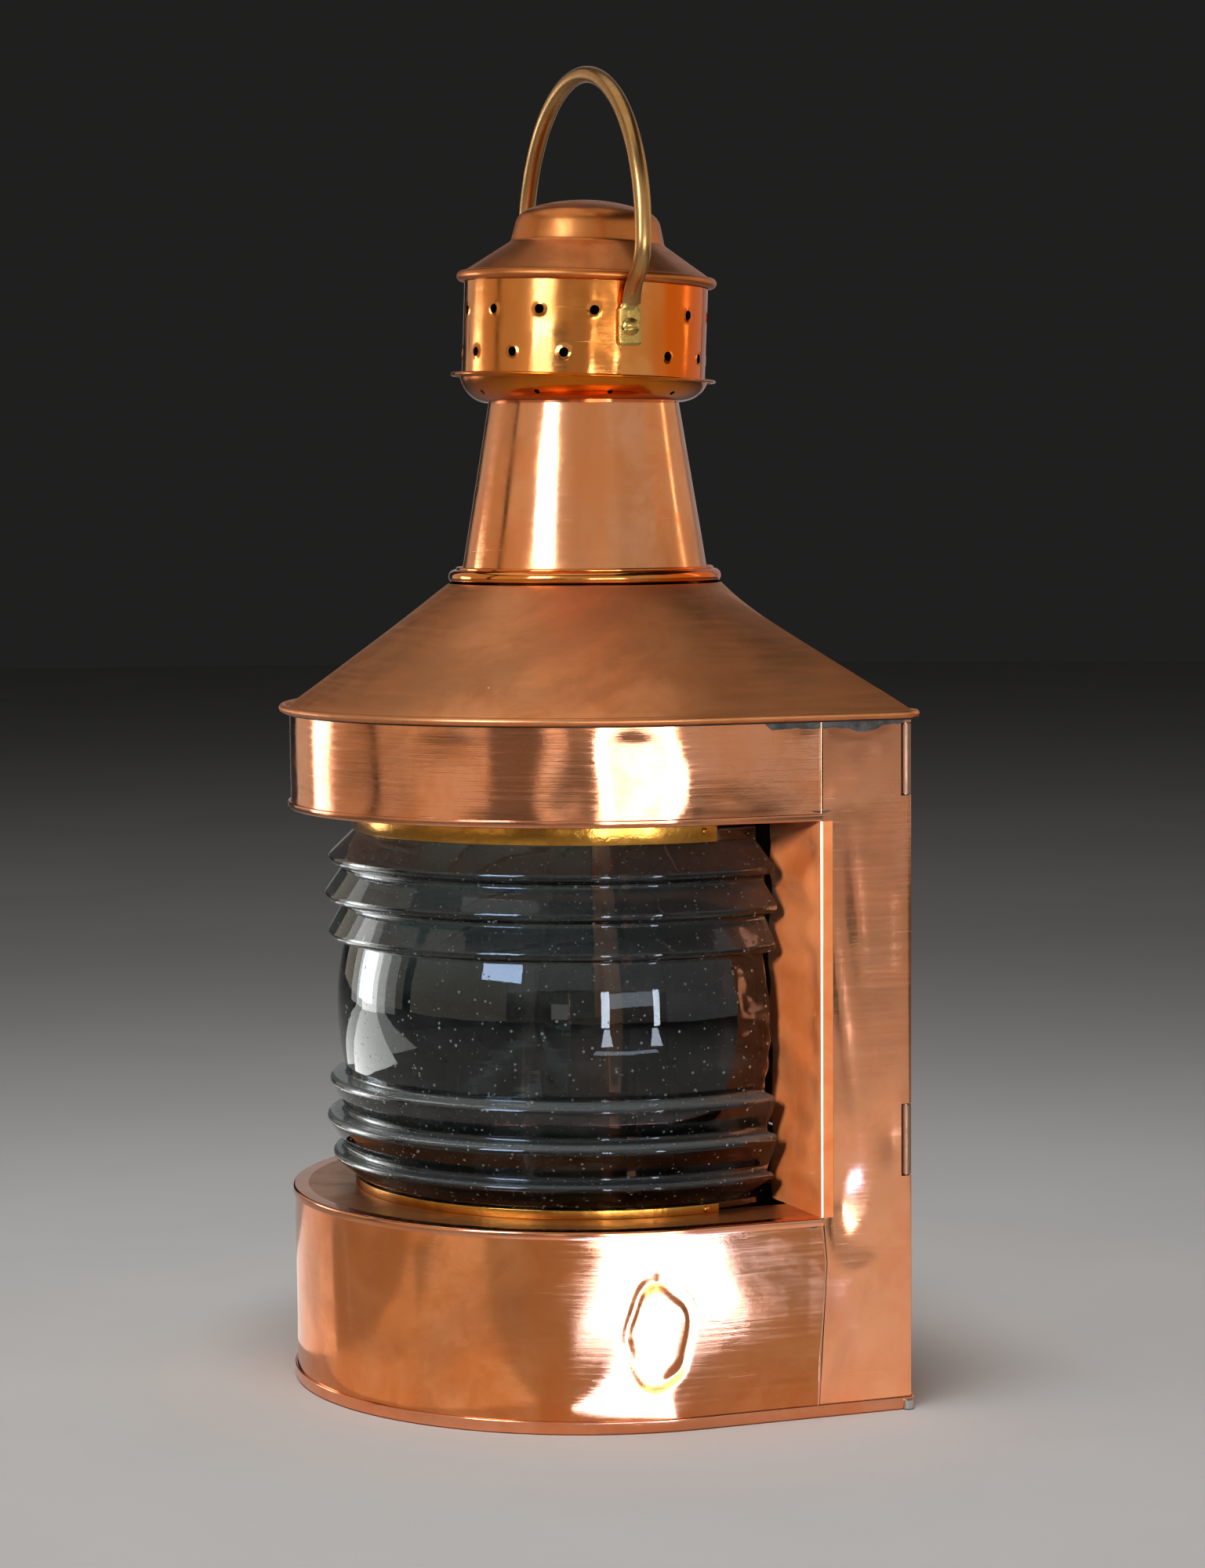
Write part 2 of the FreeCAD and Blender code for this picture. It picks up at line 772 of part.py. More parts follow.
def make_lens():
    """Thick pressed glass: three prisms above and three below a bulging middle."""
    body = new_body("lens")
    notch, drop = "-$lens_notch", "$step_drop"
    upper = [("tip_first", "tip_one_z"), ("tip_outer", "tip_two_z"), ("tip_inner", "tip_three_z")]
    lower = [("tip_inner", "tip_four_z"), ("tip_outer", "tip_five_z"), ("tip_inner", "tip_six_z")]
    profile = [
        ("-$lens_inner", "$lens_top_z"),
        ("-$lens_neck", "$lens_top_z"),
        ("-$lens_neck", "$top_neck_z"),
    ]
    for tip, z in upper:
        profile += [(f"-${tip}", f"${z}"), (notch, f"${z} - {drop}")]
    profile[-1] = (notch, f"$tip_three_z - {drop}", "left", "$lens_barrel_round")
    for tip, z in lower:
        profile += [(notch, f"${z} + {drop}"), (f"-${tip}", f"${z}")]
    profile += [
        ("-$lens_neck", "$lens_bottom_z + $neck_height"),
        ("-$lens_neck", "$lens_bottom_z"),
        ("-$lens_inner", "$lens_bottom_z"),
    ]
    revolve(body, profile, plane="YZ_Plane", angle="$lens_angle")


def make_lens_ring(label, wall_low, wall_high, lip_low):
    """A brass channel round the lens's neck: a wall outside it and a lip over its edge."""
    body = new_body(label)
    outer, inner = "-$lens_neck - 0.2 - $ring_sheet", "-$lens_neck - 0.2"
    wall = box_outline(outer, inner, wall_low, wall_high)
    lip = box_outline(inner, "-$lens_inner - 1", lip_low, f"{lip_low} + $ring_sheet")
    for outline in (wall, lip):
        revolve(body, outline, plane="YZ_Plane", angle="$ring_angle")


def make_lens_set():
    make_lens()
    make_lens_ring("lens_ring_top", "$top_neck_z + 0.2", "$soffit_z", "$lens_top_z + 0.2")
    high = "$lens_bottom_z + $neck_height - 0.2"
    make_lens_ring("lens_ring_bottom", "$ledge_z", high, "$ledge_z")


# ---------------------------------------------------------------- door


def make_door():
    body = new_body("door_panel", "$door_bottom")
    near = f"{hinge_x()} - $tube_radius - $door_hinge_gap"
    far = "-$body_radius + $sheet + $door_edge_gap"
    height = "$door_top - $door_bottom"
    pad(body, [box_outline(far, near, "$back_y - $sheet", "$back_y")], height)
    # two upright ribs inside the sheet stiffen the door
    y_far, y_near = "$back_y - $sheet - $rib_depth", "$back_y - $sheet"
    for x in (f"{far} + $rib_inset", f"{near} - $rib_hinge_inset"):
        rib = box_outline(x, f"{x} + $rib_width", y_far, y_near)
        pad(body, [rib], f"{height} - 2 * $rib_inset", offset="$rib_inset")


def make_door_hinge():
    """Two knuckles round the pin, each with a leaf soldered inside the door."""
    for name, z in (("door_hinge_low", "$low_knuckle_z"), ("door_hinge_high", "$high_knuckle_z")):
        body = new_body(name, z)
        leaf_y0, leaf_y1 = f"{hinge_y()} + 0.4", "$back_y - $sheet"
        leaf = box_outline(f"{hinge_x()} - $leaf_length", f"{hinge_x()} - 1.9", leaf_y0, leaf_y1)
        pad(body, [leaf], "$knuckle_height")
        barrel = [hinge_ring("$tube_radius - 0.1"), hinge_ring("$tube_bore")]
        pad(body, barrel, "$knuckle_height")


def make_hinge_pin():
    body = new_body("hinge_pin", "$sheet")
    pad(body, [hinge_ring("$pin_radius")], "$eave_z - $sheet")


def make_door_knob():
    body = new_body("door_knob")
    revolve(body, [
        ("0", "0"),
        ("$pull_foot", "0"),
        ("$pull_foot", "1.2"),
        ("$pull_neck", "2.4"),
        ("$pull_neck", "6", "left", "5"),
        ("$pull_radius", "$pull_length - $pull_crown", "left", crown("$pull_radius", "$pull_crown")),
        ("0", "$pull_length"),
    ])
    sideways(body, "-$knob_x", "$back_y", "$knob_z", "+Y")


def make_turn_button():
    """The latch: a brass bar on a screw. Level, it frees the door; upright, it covers its edge."""
    body = new_body("turn_button")
    reach, half = "$button_half_length", "$button_half_width"
    bar = [
        (f"-{reach} + 3", f"-{half}"),
        (f"{reach} - 3", f"-{half}"),
        (reach, f"-{half} + 3"),
        (reach, f"{half} - 3"),
        (f"{reach} - 3", half),
        (f"-{reach} + 3", half),
        (f"-{reach}", f"{half} - 3"),
        (f"-{reach}", f"-{half} + 3"),
    ]
    pad(body, [bar, ("circle", "0", "0", "$button_bore")], "$button_thick")
    sideways(body, "-$button_x", "$back_y + $button_gap", "$button_z", "+Y")


def make_turn_button_screw():
    body = new_body("turn_button_screw")
    seat = "$button_gap + $button_thick + $screw_gap"
    revolve(body, [
        ("0", "-$sheet - 3"),
        ("$screw_radius", "-$sheet - 3"),
        ("$screw_radius", seat),
        ("$screw_head", seat),
        ("$screw_head", f"{seat} + 0.6", "left", crown("$screw_head", "$screw_head_height - 0.6")),
        ("0", f"{seat} + $screw_head_height"),
    ])
    cut_slot(body, box_outline("-$screw_head - 1", "$screw_head + 1", f"{seat} + 1.3", f"{seat} + 3"))
    sideways(body, "-$button_x", "$back_y", "$button_z", "+Y")


# ---------------------------------------------------------------- oil lamp


def make_font():
    body = new_body("font_body", "$font_base_z")
    height = "$font_top_z - $font_base_z"
    revolve(body, [
        ("0", "0"),
        ("$font_radius", "0"),
        ("$font_radius", height),
        ("$font_radius - $sheet", height),
        ("$font_radius - $sheet", "$sheet"),
        ("0", "$sheet"),
    ])


def make_font_lid():
    """The font's crowned lid, with a hole for the burner and a neck for filling."""
    body = new_body("font_lid")
    rim, skin = "$font_radius + $lap", "$sheet"
    revolve(body, [
        ("$lid_hole", "$lid_crown_z"),
        ("$lid_crown_radius", "$lid_crown_z"),
        (rim, f"$font_top_z + {skin}"),
        (rim, "$font_top_z - 4"),
        (f"{rim} - {skin}", "$font_top_z - 4"),
        (f"{rim} - {skin}", "$font_top_z"),
        ("$lid_crown_radius", f"$lid_crown_z - {skin}"),
        ("$lid_hole", f"$lid_crown_z - {skin}"),
    ])
    neck = [
        ("circle", "0", "$filler_y", "$filler_radius"),
        ("circle", "0", "$filler_y", "$filler_bore"),
    ]
    low = f"$lid_crown_z - {skin}"
    pad(body, neck, f"$filler_top_z - ({low})", offset=low)
    pocket_through(body, [("circle", "0", "$filler_y", "$filler_bore")], "XY_Plane")


def make_filler_cap():
    body = new_body("filler_cap")
    base = "$filler_top_z - 7"
    revolve(body, [
        ("0", "$filler_top_z + 0.4"),
        ("$cap_skirt", "$filler_top_z + 0.4"),
        ("$cap_skirt", base),
        ("$filler_cap_radius", base),
        ("$filler_cap_radius", "$filler_cap_top_z"),
        ("0", "$filler_cap_top_z"),
    ])
    body.setExpression("Placement.Base.y", bound("$filler_y"))


def make_burner():
    """Collar in the font, hollow body with a bore for the winder, and the gallery above."""
    collar = new_body("burner_collar")
    revolve(collar, [
        ("$lid_hole - 1.5", "$lid_crown_z - 4"),
        ("$lid_hole - 0.1", "$lid_crown_z - 4"),
        ("$lid_hole - 0.1", "$lid_crown_z + 0.1"),
        ("$lid_hole + 4", "$lid_crown_z + 0.1"),
        ("$lid_hole + 4", "$burner_base_z"),
        ("$lid_hole - 1.5", "$burner_base_z"),
    ])
    body = new_body("burner_body")
    skin = "$sheet"
    revolve(body, [
        ("$lid_hole - 1.5", "$burner_base_z"),
        ("$burner_radius", "$burner_base_z"),
        ("$burner_radius", "$burner_top_z"),
        ("$lid_hole - 1.5", "$burner_top_z"),
        ("$lid_hole - 1.5", f"$burner_top_z - {skin}"),
        (f"$burner_radius - {skin}", f"$burner_top_z - {skin}"),
        (f"$burner_radius - {skin}", f"$burner_base_z + {skin}"),
        ("$lid_hole - 1.5", f"$burner_base_z + {skin}"),
    ])
    pocket_through(body, [("circle", "$winder_x", "$winder_z", "$shaft_bore")], "XZ_Plane")
    gallery = new_body("glass_gallery")
    rim = "$gallery_radius"
    revolve(gallery, [
        ("$burner_radius - 3", "$burner_top_z"),
        (rim, "$burner_top_z"),
        (rim, "$gallery_top_z"),
        (f"{rim} - {skin}", "$gallery_top_z"),
        (f"{rim} - {skin}", f"$burner_top_z + {skin}"),
        ("$burner_radius - 3", f"$burner_top_z + {skin}"),
    ])


def make_wick_tube():
    """A flat tube for the wick, cut away on one side where the spur wheels grip it."""
    body = new_body("wick_tube")
    gap, skin = "$wick_clear", "$tube_sheet"
    inner_x, inner_y = f"$wick_half_thick + {gap}", f"$wick_half_width + {gap}"
    outer_x, outer_y = f"{inner_x} + {skin}", f"{inner_y} + {skin}"
    hollow = box_outline(f"-({inner_x})", inner_x, f"-({inner_y})", inner_y)
    shell = box_outline(f"-({outer_x})", outer_x, f"-({outer_y})", outer_y)
    low = "$burner_base_z - 5"
    window_low, window_high = "$winder_z - 5.5", "$winder_z + 5.5"
    spans = [(low, window_low), (window_high, "$wick_tube_top_z")]
    for base, top in spans:
        pad(body, [shell, hollow], f"({top}) - ({base})", offset=base)
    part_shell = [
        (outer_x, f"-({outer_y})"),
        (outer_x, f"-({inner_y})"),
        (f"-({inner_x})", f"-({inner_y})"),
        (f"-({inner_x})", inner_y),
        (outer_x, inner_y),
        (outer_x, outer_y),
        (f"-({outer_x})", outer_y),
        (f"-({outer_x})", f"-({outer_y})"),
    ]
    pad(body, [part_shell], f"{window_high} - ({window_low})", offset=window_low)


def make_wick():
    body = new_body("wick", "$wick_bottom_z")
    thick, width = "$wick_half_thick", "$wick_half_width"
    strip = box_outline(f"-{thick}", thick, f"-{width}", width)
    pad(body, [strip], "$wick_top_z - $wick_bottom_z")


def make_winder():
    """Shaft through the burner to the back of the case, two spur wheels and a knob."""
    shaft = new_body("winder_shaft")
    pad(shaft, [("circle", "0", "0", "$shaft_radius")], "$shaft_back_y + 12")
    sideways(shaft, "$winder_x", "-12", "$winder_z", "+Y")
    wheels = new_body("spur_wheels")
    gear = []
    for tooth in range(SIZES["spur_count"]):
        for radius, share in (("$spur_radius", 0.0), ("$spur_radius - 0.9", 0.5)):
            angle = 360.0 * (tooth + share) / SIZES["spur_count"]
            gear.append((f"({radius}) * cos({angle:.0f}deg)", f"({radius}) * sin({angle:.0f}deg)"))
    bore = ("circle", "0", "0", "$shaft_radius")
    sleeve = ("circle", "0", "0", "$shaft_radius + 0.8")
    pad(wheels, [gear, bore], "$spur_thick")
    pad(wheels, [gear, bore], "$spur_thick", offset="$spur_thick + 4")
    pad(wheels, [sleeve, bore], "2 * $spur_thick + 4")
    sideways(wheels, "$winder_x", "-4", "$winder_z", "+Y")
    knob = new_body("winder_knob")
    pad(knob, [("circle", "0", "0", "$knob_radius"), bore], "$knob_thick")
    sideways(knob, "$winder_x", "$shaft_back_y - $knob_thick", "$winder_z", "+Y")


def make_lamp_glass():
    body = new_body("lamp_glass")
    base, wall = "$burner_top_z + $sheet + 0.2", "$glass_wall"
    revolve(body, [
        (f"$glass_base - {wall}", base),
        ("$glass_base", base),
        ("$glass_base", "$burner_top_z + 9"),
        ("$glass_bulge", "$glass_bulge_z"),
        ("$glass_neck", "$glass_neck_z"),
        ("$glass_neck", "$glass_top_z"),
        (f"$glass_neck - {wall}", "$glass_top_z"),
        (f"$glass_neck - {wall}", "$glass_neck_z"),
        (f"$glass_bulge - {wall}", "$glass_bulge_z"),
        (f"$glass_base - {wall}", "$burner_top_z + 9"),
    ])


def make_lamp():
    make_font()
    make_font_lid()
    make_filler_cap()
    make_burner()
    make_wick_tube()
    make_wick()
    make_winder()
    make_lamp_glass()


# ---------------------------------------------------------------- build and write

make_case()
make_upperworks()
make_bail()
make_bail_screws()
make_bail_nuts()
make_lens_set()
make_door()
make_door_hinge()
make_hinge_pin()
make_door_knob()
make_turn_button()
make_turn_button_screw()
make_lamp()
doc.recompute()

for item in doc.Objects:
    if "Invalid" in item.State or "Error" in item.State:
        raise RuntimeError(f"{item.Name} ({item.Label}) failed: {item.State}")

os.makedirs("parts", exist_ok=True)
for piece in pieces:
    shape = piece.Shape
    if shape.isNull() or not shape.isValid() or min(face.Area for face in shape.Faces) < 1e-3:
        raise RuntimeError(f"{piece.Label}: no valid shape")
    shape.exportStep(f"parts/{piece.Label}.step")
    print(f"{piece.Label}: {len(shape.Solids)} solid, {shape.Volume:.0f} mm3")
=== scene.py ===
"""Looks of the masthead ship lantern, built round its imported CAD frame.

Lengths are in millimetres until add_piece() turns them into metres. Angles round the lens axis
run from -Y (ahead) towards +X. The places of all pieces come from the boxes of the CAD nodes.
"""

import math

import bpy
from mathutils import Matrix, Vector, noise


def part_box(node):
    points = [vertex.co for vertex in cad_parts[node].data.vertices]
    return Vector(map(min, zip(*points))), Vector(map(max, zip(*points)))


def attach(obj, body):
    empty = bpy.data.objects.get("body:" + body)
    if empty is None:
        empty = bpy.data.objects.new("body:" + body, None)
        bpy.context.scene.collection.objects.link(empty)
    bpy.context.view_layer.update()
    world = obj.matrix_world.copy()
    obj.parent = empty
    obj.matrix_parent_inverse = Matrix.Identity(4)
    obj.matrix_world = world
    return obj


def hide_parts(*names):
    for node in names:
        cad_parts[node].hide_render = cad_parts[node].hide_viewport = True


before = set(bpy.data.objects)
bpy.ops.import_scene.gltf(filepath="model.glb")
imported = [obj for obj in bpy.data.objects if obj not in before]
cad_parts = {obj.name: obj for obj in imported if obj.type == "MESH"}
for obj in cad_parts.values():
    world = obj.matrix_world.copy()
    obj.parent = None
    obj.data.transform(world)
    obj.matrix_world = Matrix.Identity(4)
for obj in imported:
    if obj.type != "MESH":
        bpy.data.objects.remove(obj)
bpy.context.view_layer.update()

TAU = 2 * math.pi
scene = bpy.context.scene


def span(node):
    """The lowest and highest corners of a CAD node, in millimetres."""
    low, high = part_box(node)
    return low * 1000, high * 1000


def direction(azimuth):
    """The level direction at an azimuth in degrees, ahead being 0."""
    a = math.radians(azimuth)
    return Vector((math.sin(a), -math.cos(a), 0.0))


def round_axis(a, r, z):
    """A point at r from the lens axis and height z; the angle is in radians."""
    return (r * math.sin(a), -r * math.cos(a), z)


def outward(station, reach, z):
    """A point at a reach outward from the origin of a station."""
    ox, oy, nx, ny = station[:4]
    return (ox + nx * reach, oy + ny * reach, z)


def clamp(value):
    """The value held between 0 and 1."""
    return min(1.0, max(0.0, value))


def turned(a, b, angle):
    """A right-angled pair of directions, turned in their plane from a towards b."""
    return a * math.cos(angle) + b * math.sin(angle), b * math.cos(angle) - a * math.sin(angle)


def noise_at(x, y, z):
    """Smooth noise between about -1 and 1, the same in each run."""
    return noise.noise(Vector((x, y, z)))


# ---------------------------------------------------------------- sizes read from the frame

BAND_LOW, BAND_HIGH = span("lower_band")
UPPER_LOW, UPPER_HIGH = span("upper_band")
PLATE_LOW, PLATE_HIGH = span("bottom_plate")
LEDGE_LOW, LEDGE_HIGH = span("ledge_plate")
SOFFIT_LOW, SOFFIT_HIGH = span("soffit_plate")
SCREEN_LOW, SCREEN_HIGH = span("side_screen_right")
SIDE_LOW, SIDE_HIGH = span("side_panel_right")
LEFT_LOW, LEFT_HIGH = span("side_panel_left")
BACK_LOW, BACK_HIGH = span("back_lower_panel")
DOOR_LOW, DOOR_HIGH = span("door_panel")
HINGE_LOW_LOW, HINGE_LOW_HIGH = span("door_hinge_low")
HINGE_HIGH_LOW, HINGE_HIGH_HIGH = span("door_hinge_high")
PIN_LOW, PIN_HIGH = span("hinge_pin")
ROOF_LOW, ROOF_HIGH = span("roof")
RIM_LOW, RIM_HIGH = span("roof_rim_wire")
BEAD_LOW, BEAD_HIGH = span("bead_ring")
CHIMNEY_LOW, CHIMNEY_HIGH = span("chimney")
PAN_LOW, PAN_HIGH = span("vent_pan")
COLLAR_LOW, COLLAR_HIGH = span("vent_collar")
CAP_LOW, CAP_HIGH = span("cap")
BAIL_LOW, BAIL_HIGH = span("bail")
LENS_LOW, LENS_HIGH = span("lens")
RING_TOP_LOW, RING_TOP_HIGH = span("lens_ring_top")
RING_BOTTOM_LOW, RING_BOTTOM_HIGH = span("lens_ring_bottom")

RADIUS = BAND_HIGH.x
SEAM_Y = BAND_HIGH.y
BACK_Y = BACK_HIGH.y
SHEET = PLATE_HIGH.x - RADIUS
ARC = RADIUS * math.pi / 2
SEAM_U = ARC + SEAM_Y
SEAM_GAP = 0.5
HEAD_LEAN, HEAD_LEAN_AZIMUTH = 2.2, -21.0
THIN_SHEET = 0.8
TURNED_STEPS = 220


# ---------------------------------------------------------------- mesh helpers


class Shape:
    """Points and faces gathered before they become one mesh; a mark picks the material."""

    def __init__(self):
        self.points = []
        self.faces = []
        self.marks = []

    def face(self, corners, mark=0):
        self.faces.append(tuple(corners))
        self.marks.append(mark)

    def grid(self, first, rows, columns, around=False, along=False, mark=lambda k: 0):
        """Quads over rows of points; around closes each row, along joins the last row to the first."""
        row_count = rows if along else rows - 1
        column_count = columns if around else columns - 1
        for i in range(row_count):
            a, b = first + i * columns, first + ((i + 1) % rows) * columns
            for k in range(column_count):
                n = (k + 1) % columns
                self.face((a + k, b + k, b + n, a + n), mark(k))

    def caps(self, first, rows, columns, mark=0):
        """Closes both ends of a tube made of rows."""
        last = first + (rows - 1) * columns
        self.face(range(first + columns - 1, first - 1, -1), mark)
        self.face(range(last, last + columns), mark)

    def flip(self, begin=0):
        """Turns the faces made since begin inside out."""
        self.faces[begin:] = [face[::-1] for face in self.faces[begin:]]


def add_piece(name, shape, body, materials, replaces=(), sharp=32.0):
    """Makes a visual piece that rides on a body and may stand in for CAD nodes."""
    mesh = bpy.data.meshes.new(name)
    mesh.from_pydata([(x * 0.001, y * 0.001, z * 0.001) for x, y, z in shape.points], [], shape.faces)
    for material in materials:
        mesh.materials.append(material)
    mesh.polygons.foreach_set("material_index", shape.marks)
    mesh.polygons.foreach_set("use_smooth", [True] * len(mesh.polygons))
    mesh.update()
    mesh.set_sharp_from_angle(angle=math.radians(sharp))
    piece = bpy.data.objects.new(name, mesh)
    scene.collection.objects.link(piece)
    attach(piece, body)
    if replaces:
        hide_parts(*replaces)
    return piece


def dress(node, material, sharp=32.0):
    """Gives a CAD node that stays visible its finish and smooth rounds."""
    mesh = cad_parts[node].data
    mesh.materials.clear()
    mesh.materials.append(material)
    mesh.polygons.foreach_set("use_smooth", [True] * len(mesh.polygons))
    mesh.set_sharp_from_angle(angle=math.radians(sharp))


def line(points, step):
    """An open line with extra points, no further apart than the step."""
    result = [points[0]]
    for (r0, z0), (r1, z1) in zip(points, points[1:]):
        count = max(1, math.ceil(math.hypot(r1 - r0, z1 - z0) / step))
        for i in range(1, count + 1):
            t = i / count
            result.append((r0 + (r1 - r0) * t, z0 + (z1 - z0) * t))
    return result


def rounded(points, radius, closed=True, steps=4):
    """The outline with each corner cut back to an arc. A corner may give its own radius."""
    result = []
    count = len(points)
    for i, corner in enumerate(points):
        own = corner[2] if len(corner) > 2 else radius
        here = Vector(corner[:2])
        if own <= 0 or (not closed and i in (0, count - 1)):
            result.append(tuple(here))
            continue
        before = Vector(points[i - 1][:2]) - here
        after = Vector(points[(i + 1) % count][:2]) - here
        turn = before.angle(after)
        if turn > math.radians(178):
            result.append(tuple(here))
            continue
        reach = min(own / math.tan(turn / 2), before.length * 0.48, after.length * 0.48)
        bend = reach * math.tan(turn / 2)
        a = here + before.normalized() * reach
        b = here + after.normalized() * reach
        centre = here + (before.normalized() + after.normalized()).normalized() * (bend / math.sin(turn / 2))
        for k in range(steps + 1):
            spot = a.lerp(b, k / steps) - centre
            result.append(tuple(centre + spot.normalized() * bend))
    return result


def arc(centre_r, centre_z, radius, start, stop, steps):
    """Points on an arc; degrees run from +R towards +Z."""
    spots = (math.radians(start + (stop - start) * i / steps) for i in range(steps + 1))
    return [(centre_r + radius * math.cos(a), centre_z + radius * math.sin(a)) for a in spots]


def shell(outer, thickness):
    """A closed profile: the outer line and the same line set in, and where its inner side begins."""
    inner = []
    for i, (r, z) in enumerate(outer):
        a, b = outer[max(i - 1, 0)], outer[min(i + 1, len(outer) - 1)]
        dr, dz = b[0] - a[0], b[1] - a[1]
        size = math.hypot(dr, dz) or 1.0
        inner.append((r - dz / size * thickness, z + dr / size * thickness))
    return list(outer) + inner[::-1], len(outer)


def round_stations(start, stop, step, radius=RADIUS):
    """Stations on arcs about the lens axis: origin, outward direction, distance run."""
    count = max(2, math.ceil(abs(stop - start) / step))
    result = []
    for i in range(count + 1):
        a = math.radians(start + (stop - start) * i / count)
        result.append((0.0, 0.0, math.sin(a), -math.cos(a), a * radius))
    return result


def ring_stations(count, radius=RADIUS):
    """Stations all round the lens axis."""
    return round_stations(-180.0, 180.0, 360.0 / count, radius)[:-1]


def case_stations(back, step=2.2):
    """Stations from the left seam round the front to the right seam of the D-shaped case."""
    straight = max(2, math.ceil(back / step))
    left_y = [back * (1 - i / straight) for i in range(straight)]
    right_y = [back * (i + 1) / straight for i in range(straight)]
    left = [(0.0, y, -1.0, 0.0, -ARC - y) for y in left_y]
    right = [(0.0, y, 1.0, 0.0, ARC + y) for y in right_y]
    return left + round_stations(-90.0, 90.0, math.degrees(step / RADIUS)) + right


def closed_stations(corner, step=2.2):
    """The whole D: the front, the sides, and the back with rounded corners."""
    result = case_stations(BACK_Y - corner, step)
    run = result[-1][4]
    inset = RADIUS - corner
    bends = 8
    for side in (1.0, -1.0):
        turn_x, turn_y = side * inset, BACK_Y - corner
        for i in range(1, bends + 1 if side > 0 else bends):
            a = math.radians(90.0 * i / bends)
            if side < 0:
                a = math.radians(90.0) - a
            nx, ny = side * math.cos(a), math.sin(a)
            result.append((turn_x - nx * inset, turn_y - ny * inset, nx, ny, run + i))
        if side > 0:
            count = math.ceil(2 * inset / step)
            for i in range(1, count):
                x = inset - 2 * inset * i / count
                result.append((x, BACK_Y - RADIUS, 0.0, 1.0, run + 10 + i))
    return result


def sweep(shape, stations, profile, inner_from=None, closed=False, warp=None):
    """Carries a closed profile of (r, z) along the stations. The warp moves a point outward."""
    first = len(shape.points)
    for station in stations:
        for r, z in profile:
            push = warp(station[4], r, z) if warp else 0.0
            shape.points.append(outward(station, r + push, z))
    columns = len(profile)
    inner = columns if inner_from is None else inner_from
    shape.grid(first, len(stations), columns, around=True, along=closed, mark=lambda k: int(k >= inner))
    if not closed:
        shape.caps(first, len(stations), columns)


def lathe(shape, profile, inner_from=None, count=240, warp=None):
    """Turns a closed profile of (r, z) about the lens axis."""
    sweep(shape, ring_stations(count), profile, inner_from, closed=True, warp=warp)


def wavy(u, z, size, depth, seed):
    """Gentle unevenness of beaten sheet: size is its wavelength."""
    return depth * noise_at(u / size, z / size, seed)


def dent_field(dents):
    """Depth at (u, z) of rounded dents, each given as (u, z, width, height, depth, lean)."""

    def depth(u, z):
        total = 0.0
        for du, dz, width, height, deep, lean in dents:
            b = (z - dz) / height
            if abs(b) > 2.6:
                continue
            a = (u - du - lean * (z - dz)) / width
            if abs(a) < 2.6:
                total -= deep * math.exp(-a * a - b * b)
        return total

    return depth


# ---------------------------------------------------------------- material helpers


class Finish:
    """A node material. A value that is a socket is linked, and any other is set on the socket."""

    def __init__(self, name):
        self.material = bpy.data.materials.new(name)
        self.material.use_nodes = True
        self.tree = self.material.node_tree
        self.tree.nodes.clear()
        coordinates = self.tree.nodes.new("ShaderNodeTexCoord")
        self.place = coordinates.outputs["Object"]
        self.facing = coordinates.outputs["Normal"]

    def put(self, kind, values, output=0, **settings):
        item = self.tree.nodes.new(kind)
        for key, setting in settings.items():
            setattr(item, key, setting)
        for key, entry in values.items():
            if isinstance(entry, bpy.types.NodeSocket):
                self.tree.links.new(entry, item.inputs[key])
            else:
                item.inputs[key].default_value = entry
        return item.outputs[output]

    def stretch(self, x, y, z, turn=0.0):
        values = {"Vector": self.place, "Scale": (x, y, z), "Rotation": (0.0, turn, 0.0)}
        return self.put("ShaderNodeMapping", values)

    def grain(self, scale, detail=4.0, rough=0.55, bend=0.0, place=None):
        values = {
            "Vector": place or self.place,
            "Scale": scale,
            "Detail": detail,
            "Roughness": rough,
            "Distortion": bend,
        }
        return self.put("ShaderNodeTexNoise", values)

    def range(self, entry, low, high, to_low=0.0, to_high=1.0):
        values = {"Value": entry, "From Min": low, "From Max": high, "To Min": to_low, "To Max": to_high}
        return self.put("ShaderNodeMapRange", values, interpolation_type="SMOOTHSTEP")

    def maths(self, kind, a, b):
        return self.put("ShaderNodeMath", {0: a, 1: b}, operation=kind)

    def plus(self, a, b):
        return self.maths("ADD", a, b)

    def minus(self, a, b):
        return self.maths("SUBTRACT", a, b)

    def times(self, a, b):
        return self.maths("MULTIPLY", a, b)

    def most(self, a, b):
        return self.maths("MAXIMUM", a, b)

    def blend(self, share, a, b):
        values = {"Factor": share, 6: a, 7: b}
        return self.put("ShaderNodeMix", values, output=2, data_type="RGBA")

    def spots(self, scale, size, share, place=None):
        """Small scattered marks: 1 inside a mark. Share is how many cells hold one."""
        cells = self.tree.nodes.new("ShaderNodeTexVoronoi")
        self.tree.links.new(place or self.place, cells.inputs["Vector"])
        cells.inputs["Scale"].default_value = scale
        dice = self.tree.nodes.new("ShaderNodeSeparateColor")
        self.tree.links.new(cells.outputs["Color"], dice.inputs["Color"])
        reach = self.times(dice.outputs["Red"], size)
        close = self.maths("LESS_THAN", cells.outputs["Distance"], reach)
        return self.times(close, self.maths("LESS_THAN", dice.outputs["Green"], share))

    def bump(self, height, distance, strength=1.0, normal=None):
        values = {"Height": height, "Distance": distance, "Strength": strength}
        if normal:
            values["Normal"] = normal
        return self.put("ShaderNodeBump", values)

    def surface(self, values):
        shader = self.put("ShaderNodeBsdfPrincipled", values)
        self.finish(shader)
        return shader

    def finish(self, shader):
        out = self.tree.nodes.new("ShaderNodeOutputMaterial")
        self.tree.links.new(shader, out.inputs["Surface"])
        return out


def rgb(r, g, b):
    """A linear colour as a colour socket takes it."""
    return (r, g, b, 1.0)


